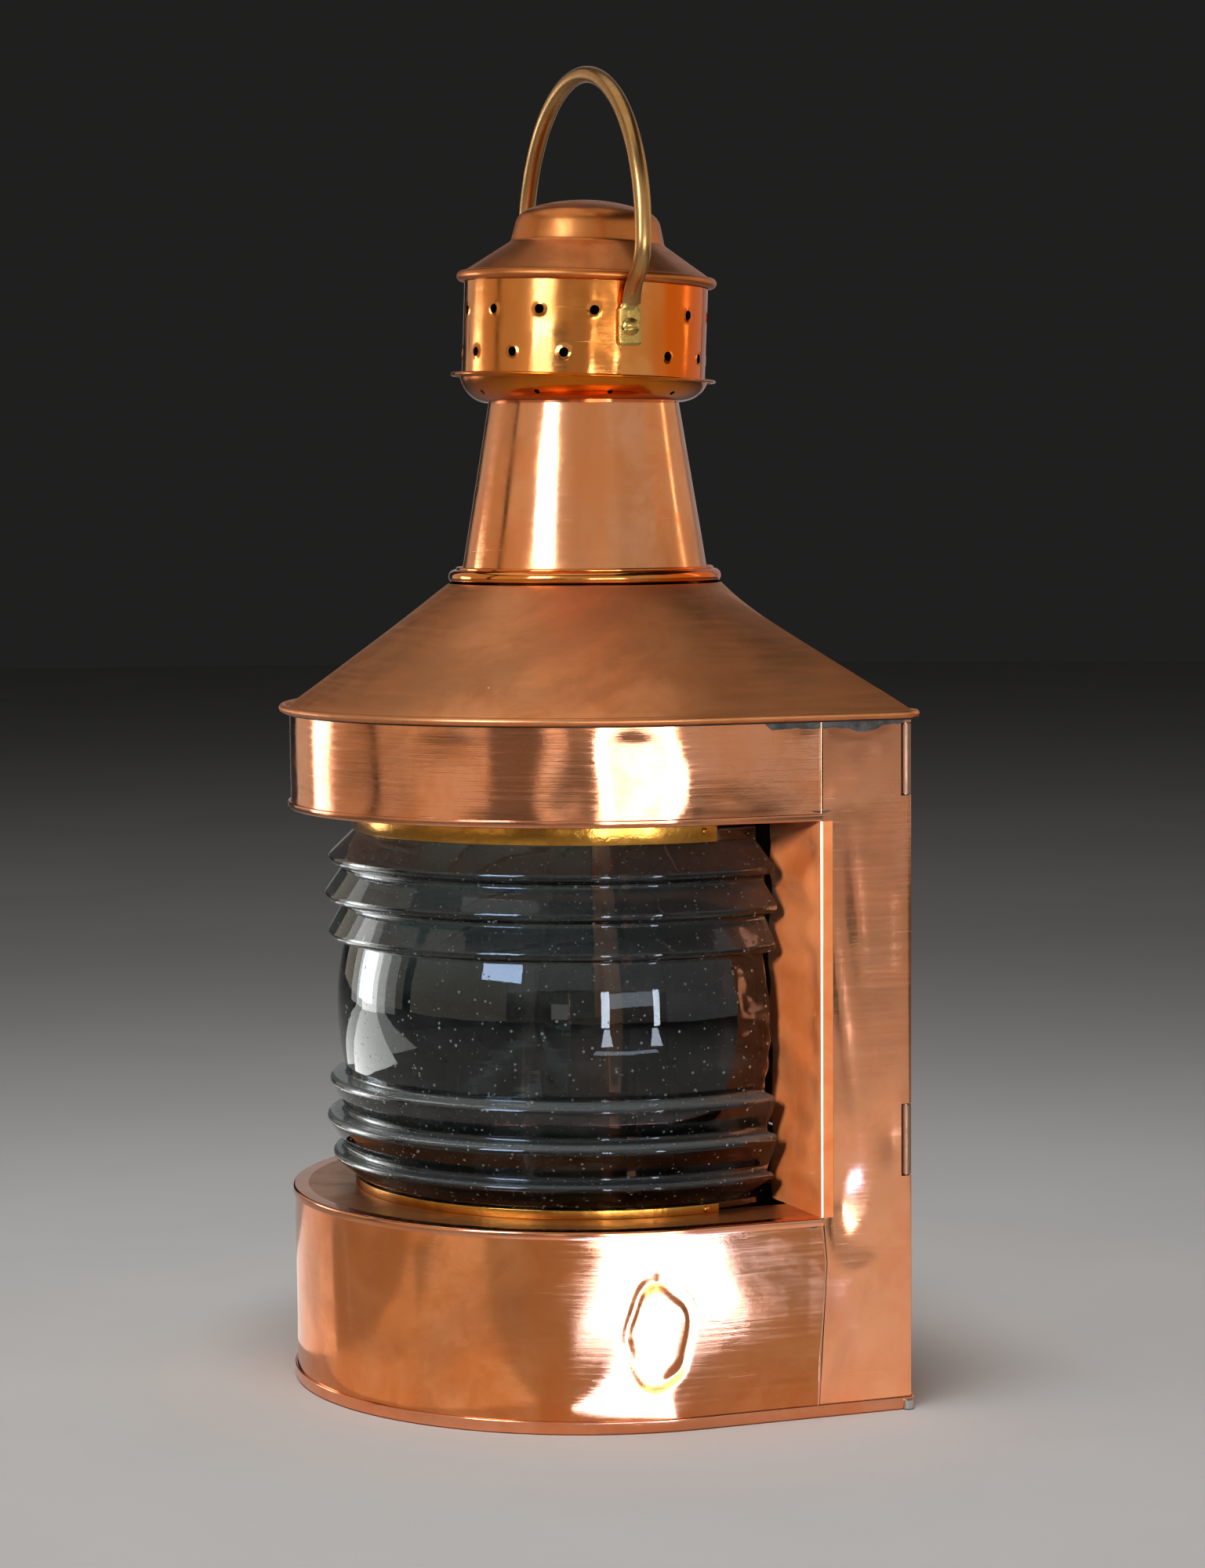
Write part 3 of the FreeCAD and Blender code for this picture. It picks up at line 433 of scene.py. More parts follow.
def copper(name, bright, deep, dull, gloss=(0.10, 0.30), tarnish=0.5, rubs=0.5, streaks=0.0, dust=0.0,
           painted_reflection_side=None, darker_upwards=None, metal=1.0):
    """Copper sheet: colour drifts, tarnish lies in patches, and rub marks run round the case.

    A side, given as an azimuth and a colour, is painted a deeper orange there: a painted reflection.
    A height range in metres darkens the colour towards the top; the share says how far.
    """
    f = Finish(name)
    patches = f.range(f.grain(11.0, 5.0, 0.6, 0.8), 0.42, 0.66)
    mottle = f.range(f.grain(46.0, 6.0, 0.62, 0.5), 0.36, 0.68)
    lines = f.grain(17.0, 5.0, 0.7, 0.2, f.stretch(1.0, 1.0, 34.0))
    wipes_and_reflection_streaks = f.grain(20.0, 3.0, 0.5, 0.3, f.stretch(1.0, 1.0, 0.12))
    fine = f.grain(420.0, 3.0, 0.6)
    scratch_a = f.range(f.grain(34.0, 2.0, 0.5, 0.0, f.stretch(0.7, 0.7, 30.0, 0.2)), 0.72, 0.76)
    colour = f.blend(f.times(mottle, 0.75), bright, deep)
    colour = f.blend(f.times(patches, tarnish), colour, dull)
    # Deeper colour in upright streaks: partly wipe marks, partly painted reflection streaks.
    colour = f.blend(f.times(f.range(wipes_and_reflection_streaks, 0.45, 0.7), streaks), colour, deep)
    # Painted reflection: the side at the given azimuth is painted a deeper orange, as double reflections off
    # the copper would show there.
    if painted_reflection_side:
        azimuth, tint = painted_reflection_side
        side = f.put("ShaderNodeVectorMath", {0: f.place, 1: tuple(direction(azimuth))}, output=1,
                     operation="DOT_PRODUCT")
        side = f.plus(side, f.times(f.minus(wipes_and_reflection_streaks, 0.5), 0.06))
        colour = f.blend(f.range(side, 0.028, 0.038), colour, tint)
    # The colour darkens towards the top over the given height range.
    if darker_upwards:
        low_z, high_z, share = darker_upwards
        up = f.put("ShaderNodeSeparateXYZ", {"Vector": f.place}, output=2)
        up = f.plus(up, f.times(f.minus(patches, 0.5), 0.05))
        colour = f.blend(f.range(up, low_z, high_z, 0.0, share), colour, dull)
    low, high = gloss
    haze = f.times(f.plus(mottle, patches), 0.5)
    rough = f.range(haze, 0.0, 1.0, low, high)
    rough = f.plus(rough, f.times(f.range(lines, 0.42, 0.72), 0.12 * rubs))
    rough = f.plus(rough, f.times(scratch_a, 0.10))
    height = f.plus(f.times(lines, 0.8 * rubs), f.times(fine, 0.25))
    height = f.minus(height, f.times(scratch_a, 0.22))
    if dust > 0:
        specks = f.spots(170.0, 0.16, dust)
        colour = f.blend(specks, colour, rgb(0.80, 0.74, 0.66))
        rough = f.most(rough, f.times(specks, 0.8))
        metal = f.minus(metal, specks)
    f.surface({
        "Base Color": colour,
        "Metallic": metal,
        "Roughness": rough,
        "Normal": f.bump(height, 0.00006),
    })
    return f.material


def soot_and_shade(name, colour, other, rough=0.55):
    """The inner side of the sheet: brown-black, partly lamp soot and partly painted shade for the dark inside
    of the case.
    """
    f = Finish(name)
    cloud = f.range(f.grain(24.0, 5.0, 0.6, 0.4), 0.35, 0.7)
    height = f.grain(160.0, 4.0, 0.6)
    f.surface({
        "Base Color": f.blend(cloud, colour, other),
        "Metallic": 0.7,
        "Roughness": f.range(height, 0.3, 0.7, rough - 0.12, rough + 0.12),
        "Normal": f.bump(height, 0.0002),
    })
    return f.material


def brass(name, bright, dark, gloss=(0.16, 0.36), tarnish=0.6, pits=0.0001, grit=1.0, metal=1.0):
    """Brass with brown tarnish in its hollows and rubbed bright places."""
    f = Finish(name)
    cloud = f.range(f.grain(38.0, 5.0, 0.6, 0.6), 0.38, 0.68)
    small = f.range(f.grain(210.0, 4.0, 0.6, 0.4), 0.40, 0.70)
    spread = f.plus(f.times(cloud, 0.6), f.times(small, 0.4 * grit))
    share = f.times(spread, tarnish)
    height = f.plus(f.grain(520.0, 3.0, 0.6), f.times(small, -0.6 * grit))
    f.surface({
        "Base Color": f.blend(share, bright, dark),
        "Metallic": metal,
        "Roughness": f.range(share, 0.0, tarnish, *gloss),
        "Normal": f.bump(height, pits),
    })
    return f.material


def solder(name):
    """Dull grey lumpy solder."""
    f = Finish(name)
    lumps = f.grain(300.0, 5.0, 0.65, 0.6)
    grey = f.range(f.grain(90.0, 4.0, 0.6), 0.35, 0.65)
    f.surface({
        "Base Color": f.blend(grey, rgb(0.27, 0.25, 0.22), rgb(0.11, 0.10, 0.085)),
        "Metallic": 0.35,
        "Roughness": f.range(lumps, 0.3, 0.7, 0.5, 0.75),
        "Normal": f.bump(lumps, 0.0005),
    })
    return f.material


def thick_glass(name):
    """Old pressed glass, grey and faintly green, with seeds, dust and fine level ripples; its upward faces
    are paler, partly settled dust and partly painted sheen.
    """
    f = Finish(name)
    ripple = f.grain(22.0, 1.5, 0.5, 0.2, f.stretch(1.0, 1.0, 9.0))
    film = f.range(f.grain(60.0, 5.0, 0.6, 0.5), 0.48, 0.80)
    rub = f.range(f.grain(24.0, 4.0, 0.6, 0.3, f.stretch(1.0, 1.0, 5.0)), 0.45, 0.75)
    glass = f.put("ShaderNodeBsdfPrincipled", {
        "Base Color": rgb(0.86, 0.90, 0.89),
        "Roughness": f.range(film, 0.0, 1.0, 0.02, 0.10),
        "IOR": 1.52,
        "Transmission Weight": 1.0,
        "Normal": f.bump(ripple, 0.000028),
    })
    specks = f.spots(600.0, 0.42, 0.13)
    motes = f.spots(260.0, 0.19, 0.12)
    lint = f.spots(110.0, 0.07, 0.12, f.stretch(1.0, 1.0, 4.0, 0.6))
    marks = f.most(f.most(specks, motes), lint)
    # Upward faces get more of the pale film: settled dust, and also painted sheen on the prisms' tops.
    upward = f.put("ShaderNodeSeparateXYZ", {"Vector": f.facing}, output=2)
    settled_dust_and_sheen = f.times(f.range(upward, 0.05, 0.8), 0.27)
    haze = f.plus(f.times(f.plus(film, rub), 0.060), settled_dust_and_sheen)
    share = f.most(f.times(marks, 0.8), haze)
    dust = f.put("ShaderNodeBsdfPrincipled", {"Base Color": rgb(0.60, 0.67, 0.65), "Roughness": 0.8})
    mixed = f.put("ShaderNodeMixShader", {0: share, 1: glass, 2: dust})
    out = f.finish(mixed)
    body = f.put("ShaderNodeVolumeAbsorption", {"Color": rgb(0.34, 0.44, 0.44), "Density": 138.0})
    f.tree.links.new(body, out.inputs["Volume"])
    return f.material


def lamp_glass(name):
    """Thin clear glass with a little soot."""
    f = Finish(name)
    soot = f.range(f.grain(26.0, 4.0, 0.6, 0.4), 0.45, 0.8)
    f.surface({
        "Base Color": f.blend(f.times(soot, 0.25), rgb(0.97, 0.98, 0.97), rgb(0.55, 0.52, 0.46)),
        "Roughness": f.range(soot, 0.0, 1.0, 0.02, 0.12),
        "IOR": 1.48,
        "Transmission Weight": 1.0,
    })
    return f.material


def cotton(name):
    """Woven wick, charred in places."""
    f = Finish(name)
    weave = f.put("ShaderNodeTexWave", {"Vector": f.place, "Scale": 900.0, "Distortion": 1.0})
    char = f.range(f.grain(40.0, 3.0), 0.4, 0.7)
    f.surface({
        "Base Color": f.blend(char, rgb(0.70, 0.65, 0.52), rgb(0.34, 0.28, 0.20)),
        "Roughness": 0.9,
        "Normal": f.bump(weave, 0.0003),
    })
    return f.material


COPPER_BAND = copper("copper_band", rgb(0.96, 0.42, 0.23), rgb(0.88, 0.30, 0.11), rgb(0.56, 0.23, 0.11),
                     (0.07, 0.19), 0.6, 0.8, 0.55, dust=0.012)
# A darker, redder copy of the band copper for the lower band: painted shade for the dimmer reflection it
# shows.
COPPER_LOW_SHADED = copper("copper_low_shaded", rgb(0.86, 0.32, 0.115), rgb(0.72, 0.20, 0.045), rgb(0.48, 0.17, 0.06),
                    (0.06, 0.18), 0.6, 0.7, 0.7, dust=0.012)
# The side copper darkens towards the top, from 0.21 m to 0.28 m.
COPPER_SIDE = copper("copper_side", rgb(0.97, 0.42, 0.21), rgb(0.92, 0.33, 0.14), rgb(0.56, 0.22, 0.11),
                     (0.10, 0.24), 0.55, 0.5, 0.4, dust=0.010, darker_upwards=(0.21, 0.28, 0.85))
COPPER_LEDGE = copper("copper_ledge", rgb(0.62, 0.25, 0.08), rgb(0.46, 0.17, 0.05), rgb(0.26, 0.10, 0.04),
                      (0.30, 0.46), 0.6, 0.3, dust=0.02, metal=0.75)
COPPER_SCREEN = copper("copper_screen", rgb(0.93, 0.31, 0.11), rgb(0.84, 0.19, 0.04), rgb(0.46, 0.14, 0.04),
                       (0.08, 0.18), 0.5, 0.2, 0.5, metal=0.45)
COPPER_ROOF = copper("copper_roof", rgb(0.81, 0.31, 0.115), rgb(0.66, 0.225, 0.07), rgb(0.42, 0.18, 0.07),
                     (0.36, 0.50), 0.6, 0.6, 0.2, dust=0.018)
COPPER_CHIMNEY = copper("copper_chimney", rgb(0.96, 0.40, 0.18), rgb(0.84, 0.27, 0.08), rgb(0.50, 0.22, 0.09),
                        (0.12, 0.26), 0.5, 0.3, 0.9, dust=0.004)
# The vent copper's side at azimuth 150 is painted a deeper orange: a painted reflection.
COPPER_VENT = copper("copper_vent", rgb(0.97, 0.37, 0.095), rgb(0.86, 0.25, 0.04), rgb(0.48, 0.17, 0.04),
                     (0.09, 0.22), 0.6, 0.15, 0.9, painted_reflection_side=(150.0, rgb(0.90, 0.17, 0.01)))
COPPER_PAN = copper("copper_pan", rgb(0.74, 0.19, 0.015), rgb(0.62, 0.13, 0.006), rgb(0.40, 0.12, 0.02),
                    (0.12, 0.26), 0.6, 0.2, 0.5)
COPPER_CAP = copper("copper_cap", rgb(0.74, 0.23, 0.055), rgb(0.60, 0.16, 0.03), rgb(0.36, 0.12, 0.03),
                    (0.30, 0.44), 0.5, 0.4, dust=0.012)
COPPER_FONT = copper("copper_font", rgb(0.34, 0.16, 0.08), rgb(0.22, 0.10, 0.05), rgb(0.10, 0.055, 0.03),
                     (0.34, 0.52), 0.8, 0.3)
# Seam beads: rubbed copper, made paler also as a painted highlight down each seam.
SEAM = copper("rubbed_and_highlight_edge", rgb(0.96, 0.52, 0.32), rgb(0.88, 0.38, 0.20), rgb(0.50, 0.30, 0.20),
              (0.16, 0.28), 0.4, 0.3)
TINNED = brass("tinned_copper", rgb(0.52, 0.27, 0.17), rgb(0.30, 0.15, 0.09), (0.36, 0.50), 0.7, 0.00006)
# Inner faces: lamp soot together with painted shade, dark where the closed case gets little light.
SOOT_AND_SHADE = soot_and_shade("soot_and_shade_copper", rgb(0.07, 0.04, 0.022), rgb(0.028, 0.018, 0.012))
BRONZE = brass("bronze_rod", rgb(0.56, 0.29, 0.095), rgb(0.33, 0.155, 0.048), (0.28, 0.42), 0.8, 0.00004, 0.3)
BRASS = brass("brass_fitting", rgb(0.70, 0.43, 0.11), rgb(0.34, 0.19, 0.04), (0.20, 0.38), 0.7, 0.00006)
BRASS_RING = brass("brass_ring", rgb(0.74, 0.33, 0.055), rgb(0.36, 0.14, 0.022), (0.14, 0.28), 0.8, 0.00005)
BRASS_BURNER = brass("brass_burner", rgb(0.34, 0.23, 0.10), rgb(0.10, 0.07, 0.035), (0.34, 0.55), 0.9)
# Pale tin colour for the screen's fold, which also serves as a painted highlight down that edge.
TIN_AND_HIGHLIGHT_EDGE = brass("tin_and_painted_highlight_edge", rgb(0.95, 0.90, 0.84), rgb(0.70, 0.62, 0.54), (0.30, 0.46), 0.4, 0.00004,
                 metal=0.3)
STEEL = brass("steel_pin", rgb(0.62, 0.60, 0.57), rgb(0.28, 0.24, 0.20), (0.24, 0.42), 0.5, 0.00004)
SOLDER = solder("solder")
LENS_GLASS = thick_glass("lens_glass")
CHIMNEY_GLASS = lamp_glass("chimney_glass")
WICK = cotton("cotton_wick")


# ---------------------------------------------------------------- camera, floor and light


WHITE, WARM, COOL = (1.0, 1.0, 1.0), (1.0, 0.86, 0.68), (0.80, 0.93, 1.10)
ORIGIN = Vector((0.0, 0.0, 0.0))


def make_camera():
    """The photograph's viewpoint, with its slight downward tilt, turn and roll."""
    azimuth, distance, height = 69.0, 1.7382, 0.3944
    pitch, yaw, roll = math.radians(4.36), math.radians(0.24), math.radians(-0.38)
    up = Vector((0.0, 0.0, 1.0))
    ahead = -direction(azimuth)
    right = ahead.cross(up)
    ahead, right = turned(ahead, right, yaw)
    ahead, up = turned(ahead, up, -pitch)
    right, up = turned(right, up, roll)
    data = bpy.data.cameras.new("camera")
    data.sensor_fit = "VERTICAL"
    data.sensor_height = 36.0
    data.lens = 90.0
    data.clip_end = 60.0
    camera = bpy.data.objects.new("camera", data)
    scene.collection.objects.link(camera)
    basis = Matrix((right, up, -ahead)).transposed().to_4x4()
    place = direction(azimuth) * distance + Vector((0.0, 0.0, height))
    camera.matrix_world = Matrix.Translation(place) @ basis
    scene.camera = camera


def make_floor():
    """A plain pale floor, wide enough to fade into the dark room."""
    f = Finish("pale_floor")
    cloud = f.grain(3.0, 4.0, 0.6)
    f.surface({
        "Base Color": f.blend(f.range(cloud, 0.3, 0.7), rgb(0.72, 0.71, 0.69), rgb(0.68, 0.67, 0.65)),
        "Roughness": f.range(cloud, 0.3, 0.7, 0.75, 0.9),
        "Specular IOR Level": 0.0,
        "Normal": f.bump(f.grain(400.0, 2.0), 0.00005),
    })
    mesh = bpy.data.meshes.new("floor")
    reach, count = 7.0, 64
    rim = [direction(360.0 * i / count) * reach for i in range(count)]
    mesh.from_pydata(rim, [], [tuple(range(count))])
    mesh.materials.append(f.material)
    floor = bpy.data.objects.new("floor", mesh)
    scene.collection.objects.link(floor)


def link_light(lamp, names, state="INCLUDE"):
    """Keeps a light to the named pieces, or off them."""
    group = bpy.data.collections.new(f"{lamp.name}_pieces")
    for name in names:
        group.objects.link(bpy.data.objects[name])
    for entry in group.collection_objects:
        entry.light_linking.link_state = state
    lamp.light_linking.receiver_collection = group


def place_light(name, data, spot, target, glossy=True, diffuse=True):
    """Puts a light at the spot, aimed at the target and hidden from the camera."""
    lamp = bpy.data.objects.new(name, data)
    lamp.location = spot
    lamp.rotation_euler = (Vector(target) - Vector(spot)).to_track_quat("-Z", "Y").to_euler()
    lamp.visible_camera = False
    lamp.visible_transmission = False
    lamp.visible_glossy = glossy
    lamp.visible_diffuse = diffuse
    scene.collection.objects.link(lamp)
    return lamp


def rectangle(name, width, height, radiance, tint=WHITE):
    """An area light of a given brightness, whatever its size."""
    data = bpy.data.lights.new(name, "AREA")
    data.shape = "RECTANGLE"
    data.size = width
    data.size_y = height
    data.energy = radiance * math.pi * width * height
    data.color = tint
    return data


def softbox(name, azimuth, distance, low, high, width, radiance, tint=WHITE, only=None):
    """An upright light that faces the lantern and shows as a reflection in it."""
    data = rectangle(name, width, high - low, radiance, tint)
    middle = Vector((0.0, 0.0, (low + high) / 2))
    lamp = place_light(name, data, direction(azimuth) * distance + middle, middle, diffuse=False)
    if only:
        link_light(lamp, only)
    return lamp


def card(name, start, stop, low, high, radiance, tint=WHITE):
    """A studio wall between two azimuths, which only shows as a reflection in the metal."""
    distance = 2.4
    width = 2 * distance * math.tan(math.radians((stop - start) / 2))
    softbox(name, (start + stop) / 2, distance, low, high, width, radiance, tint)


def floor_card(name, azimuth, near, far, width, radiance, tint, only, start=ORIGIN, oval=False):
    """A lit card that lies on the floor, runs out from the start, and shows in the named pieces."""
    data = rectangle(name, width, far - near, radiance, tint)
    if oval:
        data.shape = "ELLIPSE"
    spot = start + direction(azimuth) * ((near + far) / 2) + Vector((0.0, 0.0, 0.004))
    lamp = place_light(name, data, spot, spot + Vector((0.0, 0.0, 1.0)), diffuse=False)
    lamp.rotation_euler = (math.pi, 0.0, math.radians(azimuth))
    link_light(lamp, only)


def make_linked_lights():
    """Window light as the sheets and the lens show it, and a fill for the screen beside the lens."""
    drum = ["lower_band_sheet", "bottom_plate_hemmed"]
    flat = ["side_right_sheet", "ledge_plate_rolled"]
    lens, screens = ["lens_pressed"], ["side_screen_right_rippled"]
    pale, blush, grey = (0.62, 1.15, 3.0), (1.0, 0.90, 0.86), (1.0, 1.03, 1.0)
    left = -46.0
    fan = direction(73.0) * 0.137
    floor_card("fan_left", 83.0, 0.15, 0.56, 0.15, 9.0, pale, drum, fan)
    floor_card("fan_middle", 97.0, 0.01, 0.56, 0.058, 9.0, pale, drum, fan)
    floor_card("fan_right", 108.5, 0.20, 0.60, 0.150, 9.0, pale, drum, fan)
    floor_card("drum_left", -50.0, 0.14, 1.40, 0.24, 0.52, blush, drum)
    floor_card("drum_front", 22.0, 0.14, 1.40, 0.20, 0.24, blush, drum)
    floor_card("flat_card", 85.0, 0.148, 0.90, 0.30, 5.0, pale, flat, oval=True)
    floor_card("flat_glow", 108.0, 0.15, 2.4, 1.00, 0.26, blush, flat)
    floor_card("lens_card_near", 77.0, 0.75, 1.64, 0.065, 9.0, COOL, lens)
    floor_card("lens_card_far", 98.0, 0.75, 1.64, 0.065, 8.0, COOL, lens)
    floor_card("lens_sill", 85.0, 0.60, 0.67, 0.30, 3.0, COOL, lens)
    floor_card("lens_card_left", left, 0.45, 1.70, 0.40, 3.4, grey, lens)
    floor_card("lens_card_soft", left, 0.54, 1.75, 0.80, 1.4, grey, lens)
    softbox("lens_left", left, 1.70, 0.0, 0.80, 0.40, 4.0, grey, lens)
    softbox("lens_left_soft", left, 1.75, 0.0, 0.90, 0.80, 2.2, grey, lens)
    softbox("lens_left_glow", left, 1.80, 0.0, 1.00, 1.30, 1.0, grey, lens)
    softbox("screen_light", 22.0, 1.50, 0.02, 0.40, 0.50, 14.0, COOL, screens)
    sky = rectangle("lens_sky", 1.0, 1.2, 3.0, grey)
    sky_place = direction(left) * 1.2 + Vector((0.0, 0.0, 1.9))
    link_light(place_light("lens_sky", sky, sky_place, (0.0, 0.0, 0.18), diffuse=False), lens)
    window = softbox("key_middle", 88.0, 1.66, 0.03, 0.44, 0.62, 5.0, COOL)
    link_light(window, lens, "EXCLUDE")
    softbox("lens_window", 88.0, 1.66, 0.26, 0.44, 0.62, 2.4, COOL, lens)
    fill = bpy.data.lights.new("fill", "SPOT")
    fill.energy = 150.0
    fill.spot_size = math.radians(32.0)
    fill.spot_blend = 1.0
    fill.shadow_soft_size = 0.10
    place = direction(56.0) * 1.5 + Vector((0.0, 0.0, 0.62))
    link_light(place_light("fill", fill, place, (0.10, 0.05, 0.18), glossy=False), screens)


def floor_pool(power):
    """A wide soft spot that lights the floor round the lantern and fades further out."""
    data = bpy.data.lights.new("pool", "SPOT")
    data.energy = power
    data.spot_size = math.radians(64.0)
    data.spot_blend = 1.0
    data.shadow_soft_size = 0.45
    place = direction(55.0) * 0.6 + Vector((0.0, 0.0, 2.6))
    place_light("pool", data, place, direction(55.0) * 0.3, glossy=False)


def make_world():
    """The dim room round the lantern."""
    world = bpy.data.worlds.new("room")
    scene.world = world
    world.use_nodes = True
    shade = world.node_tree.nodes["Background"]
    shade.inputs["Color"].default_value = (1.0, 0.98, 0.96, 1.0)
    shade.inputs["Strength"].default_value = 0.014


def make_stage():
    """Camera, floor, room and the lights that reach every piece."""
    make_camera()
    make_floor()
    make_world()
    softbox("key_edge_near", 76.5, 1.65, 0.03, 0.46, 0.10, 15.0, COOL)
    softbox("key_edge_far", 99.0, 1.65, 0.03, 0.46, 0.08, 15.0, COOL)
    softbox("strip_left", 30.0, 1.60, 0.53, 1.50, 0.54, 10.0, (0.70, 0.95, 1.40))
    softbox("side_left", -50.0, 1.80, 0.05, 0.60, 0.42, 5.0, COOL)
    softbox("rim_right", 178.0, 1.80, 0.45, 1.60, 0.16, 1.8, WARM)
    softbox("pink_strip", 57.0, 2.0, 0.10, 0.34, 0.26, 0.9)
    for name, start, stop, low, high, radiance, tint in (
        ("card_a", -80.0, -22.0, 0.02, 2.2, 0.50, WARM),
        ("card_b", -17.0, 33.0, 0.02, 2.2, 0.58, WARM),
        ("card_b_edge", 33.0, 54.0, 0.02, 0.62, 0.16, WARM),
        ("card_c_low", 54.0, 104.0, 0.02, 0.62, 0.28, WARM),
        ("card_c_high", 33.0, 104.0, 0.62, 2.6, 0.50, WHITE),
        ("card_d", 104.0, 146.0, 0.02, 2.2, 0.46, WHITE),
        ("card_e", 146.0, 214.0, 0.02, 2.2, 0.50, WARM),
        ("card_f", 216.0, 262.0, 0.02, 2.2, 0.30, WHITE),
    ):
        card(name, start, stop, low, high, radiance, tint)
    ceiling = direction(-20.0) * 0.5 + Vector((0.0, 0.0, 2.5))
    place_light("ceiling", rectangle("ceiling", 2.6, 2.6, 0.75), ceiling, (0.0, 0.0, 0.3))
    floor_pool(118.0)
    scene.view_settings.view_transform = "Standard"
    scene.view_settings.look = "None"


# ---------------------------------------------------------------- case


def ring_crease(u0, z0, half_u, half_z, width, deep):
    """Depth at (u, z) of a thin oval crease round a dent, a little irregular."""

    def depth(u, z):
        turn = math.atan2((z - z0) / half_z, (u - u0) / half_u)
        reach = math.hypot((u - u0) / half_u, (z - z0) / half_z)
        wander = 0.16 * noise_at(math.cos(turn) * 1.3, math.sin(turn) * 1.3, 2.0)
        off = (reach - 1.0 - wander) * (half_u + half_z) / 2 / width
        return -deep * math.exp(-off * off) if abs(off) < 3.0 else 0.0

    return depth


LOWER_RING = ring_crease(187.0, 41.0, 13.5, 21.0, 2.1, 0.80)
LOWER_DENTS = dent_field([
    # u, z, width, height, depth, lean
    (187.0, 41.0, 10.0, 16.0, 0.5, 0.05),
    (188.0, 76.0, 2.0, 12.0, 0.55, 0.0),
    (222.0, 60.0, 14.0, 18.0, -0.25, -0.3),
    (78.0, 44.0, 4.5, 34.0, 0.55, 0.06),
    (92.0, 44.0, 5.0, 34.0, -0.35, 0.06),
    (70.0, 36.0, 6.0, 9.0, 0.6, 0.1),
    (52.0, 60.0, 6.0, 26.0, 0.3, 0.1),
    (36.0, 52.0, 5.0, 30.0, 0.45, -0.1),
    (-60.0, 40.0, 18.0, 18.0, 0.8, 0.1),
    (-150.0, 52.0, 20.0, 22.0, 0.9, -0.1),
    (-220.0, 40.0, 22.0, 18.0, 0.7, 0.2),
])

UPPER_DENTS = dent_field([
    (176.0, 286.0, 10.0, 12.0, 0.7, 0.0),
    (187.0, 268.0, 10.0, 12.0, 0.5, 0.2),
    (150.0, 262.0, 8.0, 16.0, 0.4, 0.1),
    (218.0, 272.0, 24.0, 14.0, -0.4, 0.0),
    (96.0, 276.0, 12.0, 16.0, 0.4, 0.1),
    (50.0, 268.0, 14.0, 16.0, 0.4, -0.1),
    (-80.0, 276.0, 18.0, 16.0, 0.5, 0.0),
    (-190.0, 270.0, 16.0, 16.0, 0.6, 0.1),
])

RIGHT_DENTS = dent_field([
    (ARC + 64.0, 94.0, 10.0, 20.0, 2.8, 0.1),
    (ARC + 74.0, 60.0, 10.0, 9.0, -0.9, 0.5),
    (ARC + 66.0, 34.0, 8.0, 16.0, 0.8, -0.3),
    (ARC + 64.0, 178.0, 2.6, 46.0, 0.65, -0.12),
    (ARC + 72.0, 214.0, 3.0, 34.0, 0.60, -0.10),
    (ARC + 88.0, 120.0, 9.0, 12.0, 0.8, 0.0),
    (ARC + 80.0, 44.0, 10.0, 22.0, -0.3, 0.1),
    (ARC + 74.0, 285.0, 12.0, 12.0, 0.8, 0.3),
    (ARC + 70.0, 262.0, 10.0, 18.0, -0.5, 0.0),
    (ARC + 78.0, 205.0, 16.0, 30.0, 0.5, 0.05),
    (ARC + 68.0, 150.0, 12.0, 26.0, 0.4, 0.0),
])

LEFT_DENTS = dent_field([
    (-ARC - 76.0, 60.0, 14.0, 24.0, 1.0, 0.1),
    (-ARC - 72.0, 150.0, 14.0, 34.0, 0.6, 0.0),
    (-ARC - 80.0, 236.0, 12.0, 26.0, 0.8, 0.1),
])


def seam_lean(z):
    """How far the knocked lower seam on the right stands off its straight line."""
    spots = [(0.0, -2.2), (6.0, -2.1), (66.0, 1.7), (84.0, 0.0), (400.0, 0.0)]
    for (z0, lean0), (z1, lean1) in zip(spots, spots[1:]):
        if z0 <= z <= z1:
            return lean0 + (lean1 - lean0) * (z - z0) / (z1 - z0)
    return 0.0


def follow_lean(shape):
    """Shifts the sheet beside the right-hand seam with the seam."""
    reach = 14.0
    for i, (x, y, z) in enumerate(shape.points):
        near = 1.0 - abs(y - SEAM_Y) / reach
        if x > 0 and near > 0:
            shape.points[i] = (x, y + near * seam_lean(z), z)


def make_band(name, low, high, dents, seed, skin):
    """A curved band of the drum from seam to seam, its edges held straight by the seams and plates."""
    outer = line([(RADIUS, low), (RADIUS, high)], 1.1)
    profile, inner = shell(outer, SHEET)
    edge, lap = 7.0, 0.22

    def warp(u, r, z):
        fade = min(1.0, (z - low) / edge, (high - z) / edge)
        seam = min(1.0, abs(SEAM_U - abs(u)) / edge)
        held = max(0.0, fade) * (0.35 + 0.65 * seam)
        beaten = dents(u, z) + wavy(u, z, 34.0, 0.26, seed) + wavy(u, z * 0.4, 15.0, 0.09, seed + 4)
        return held * beaten + lap * (1.0 - seam)

    shape = Shape()
    sweep(shape, case_stations(SEAM_Y, 1.1), profile, inner, warp=warp)
    follow_lean(shape)
    add_piece(f"{name}_sheet", shape, "case", [skin, SOOT_AND_SHADE], [name])


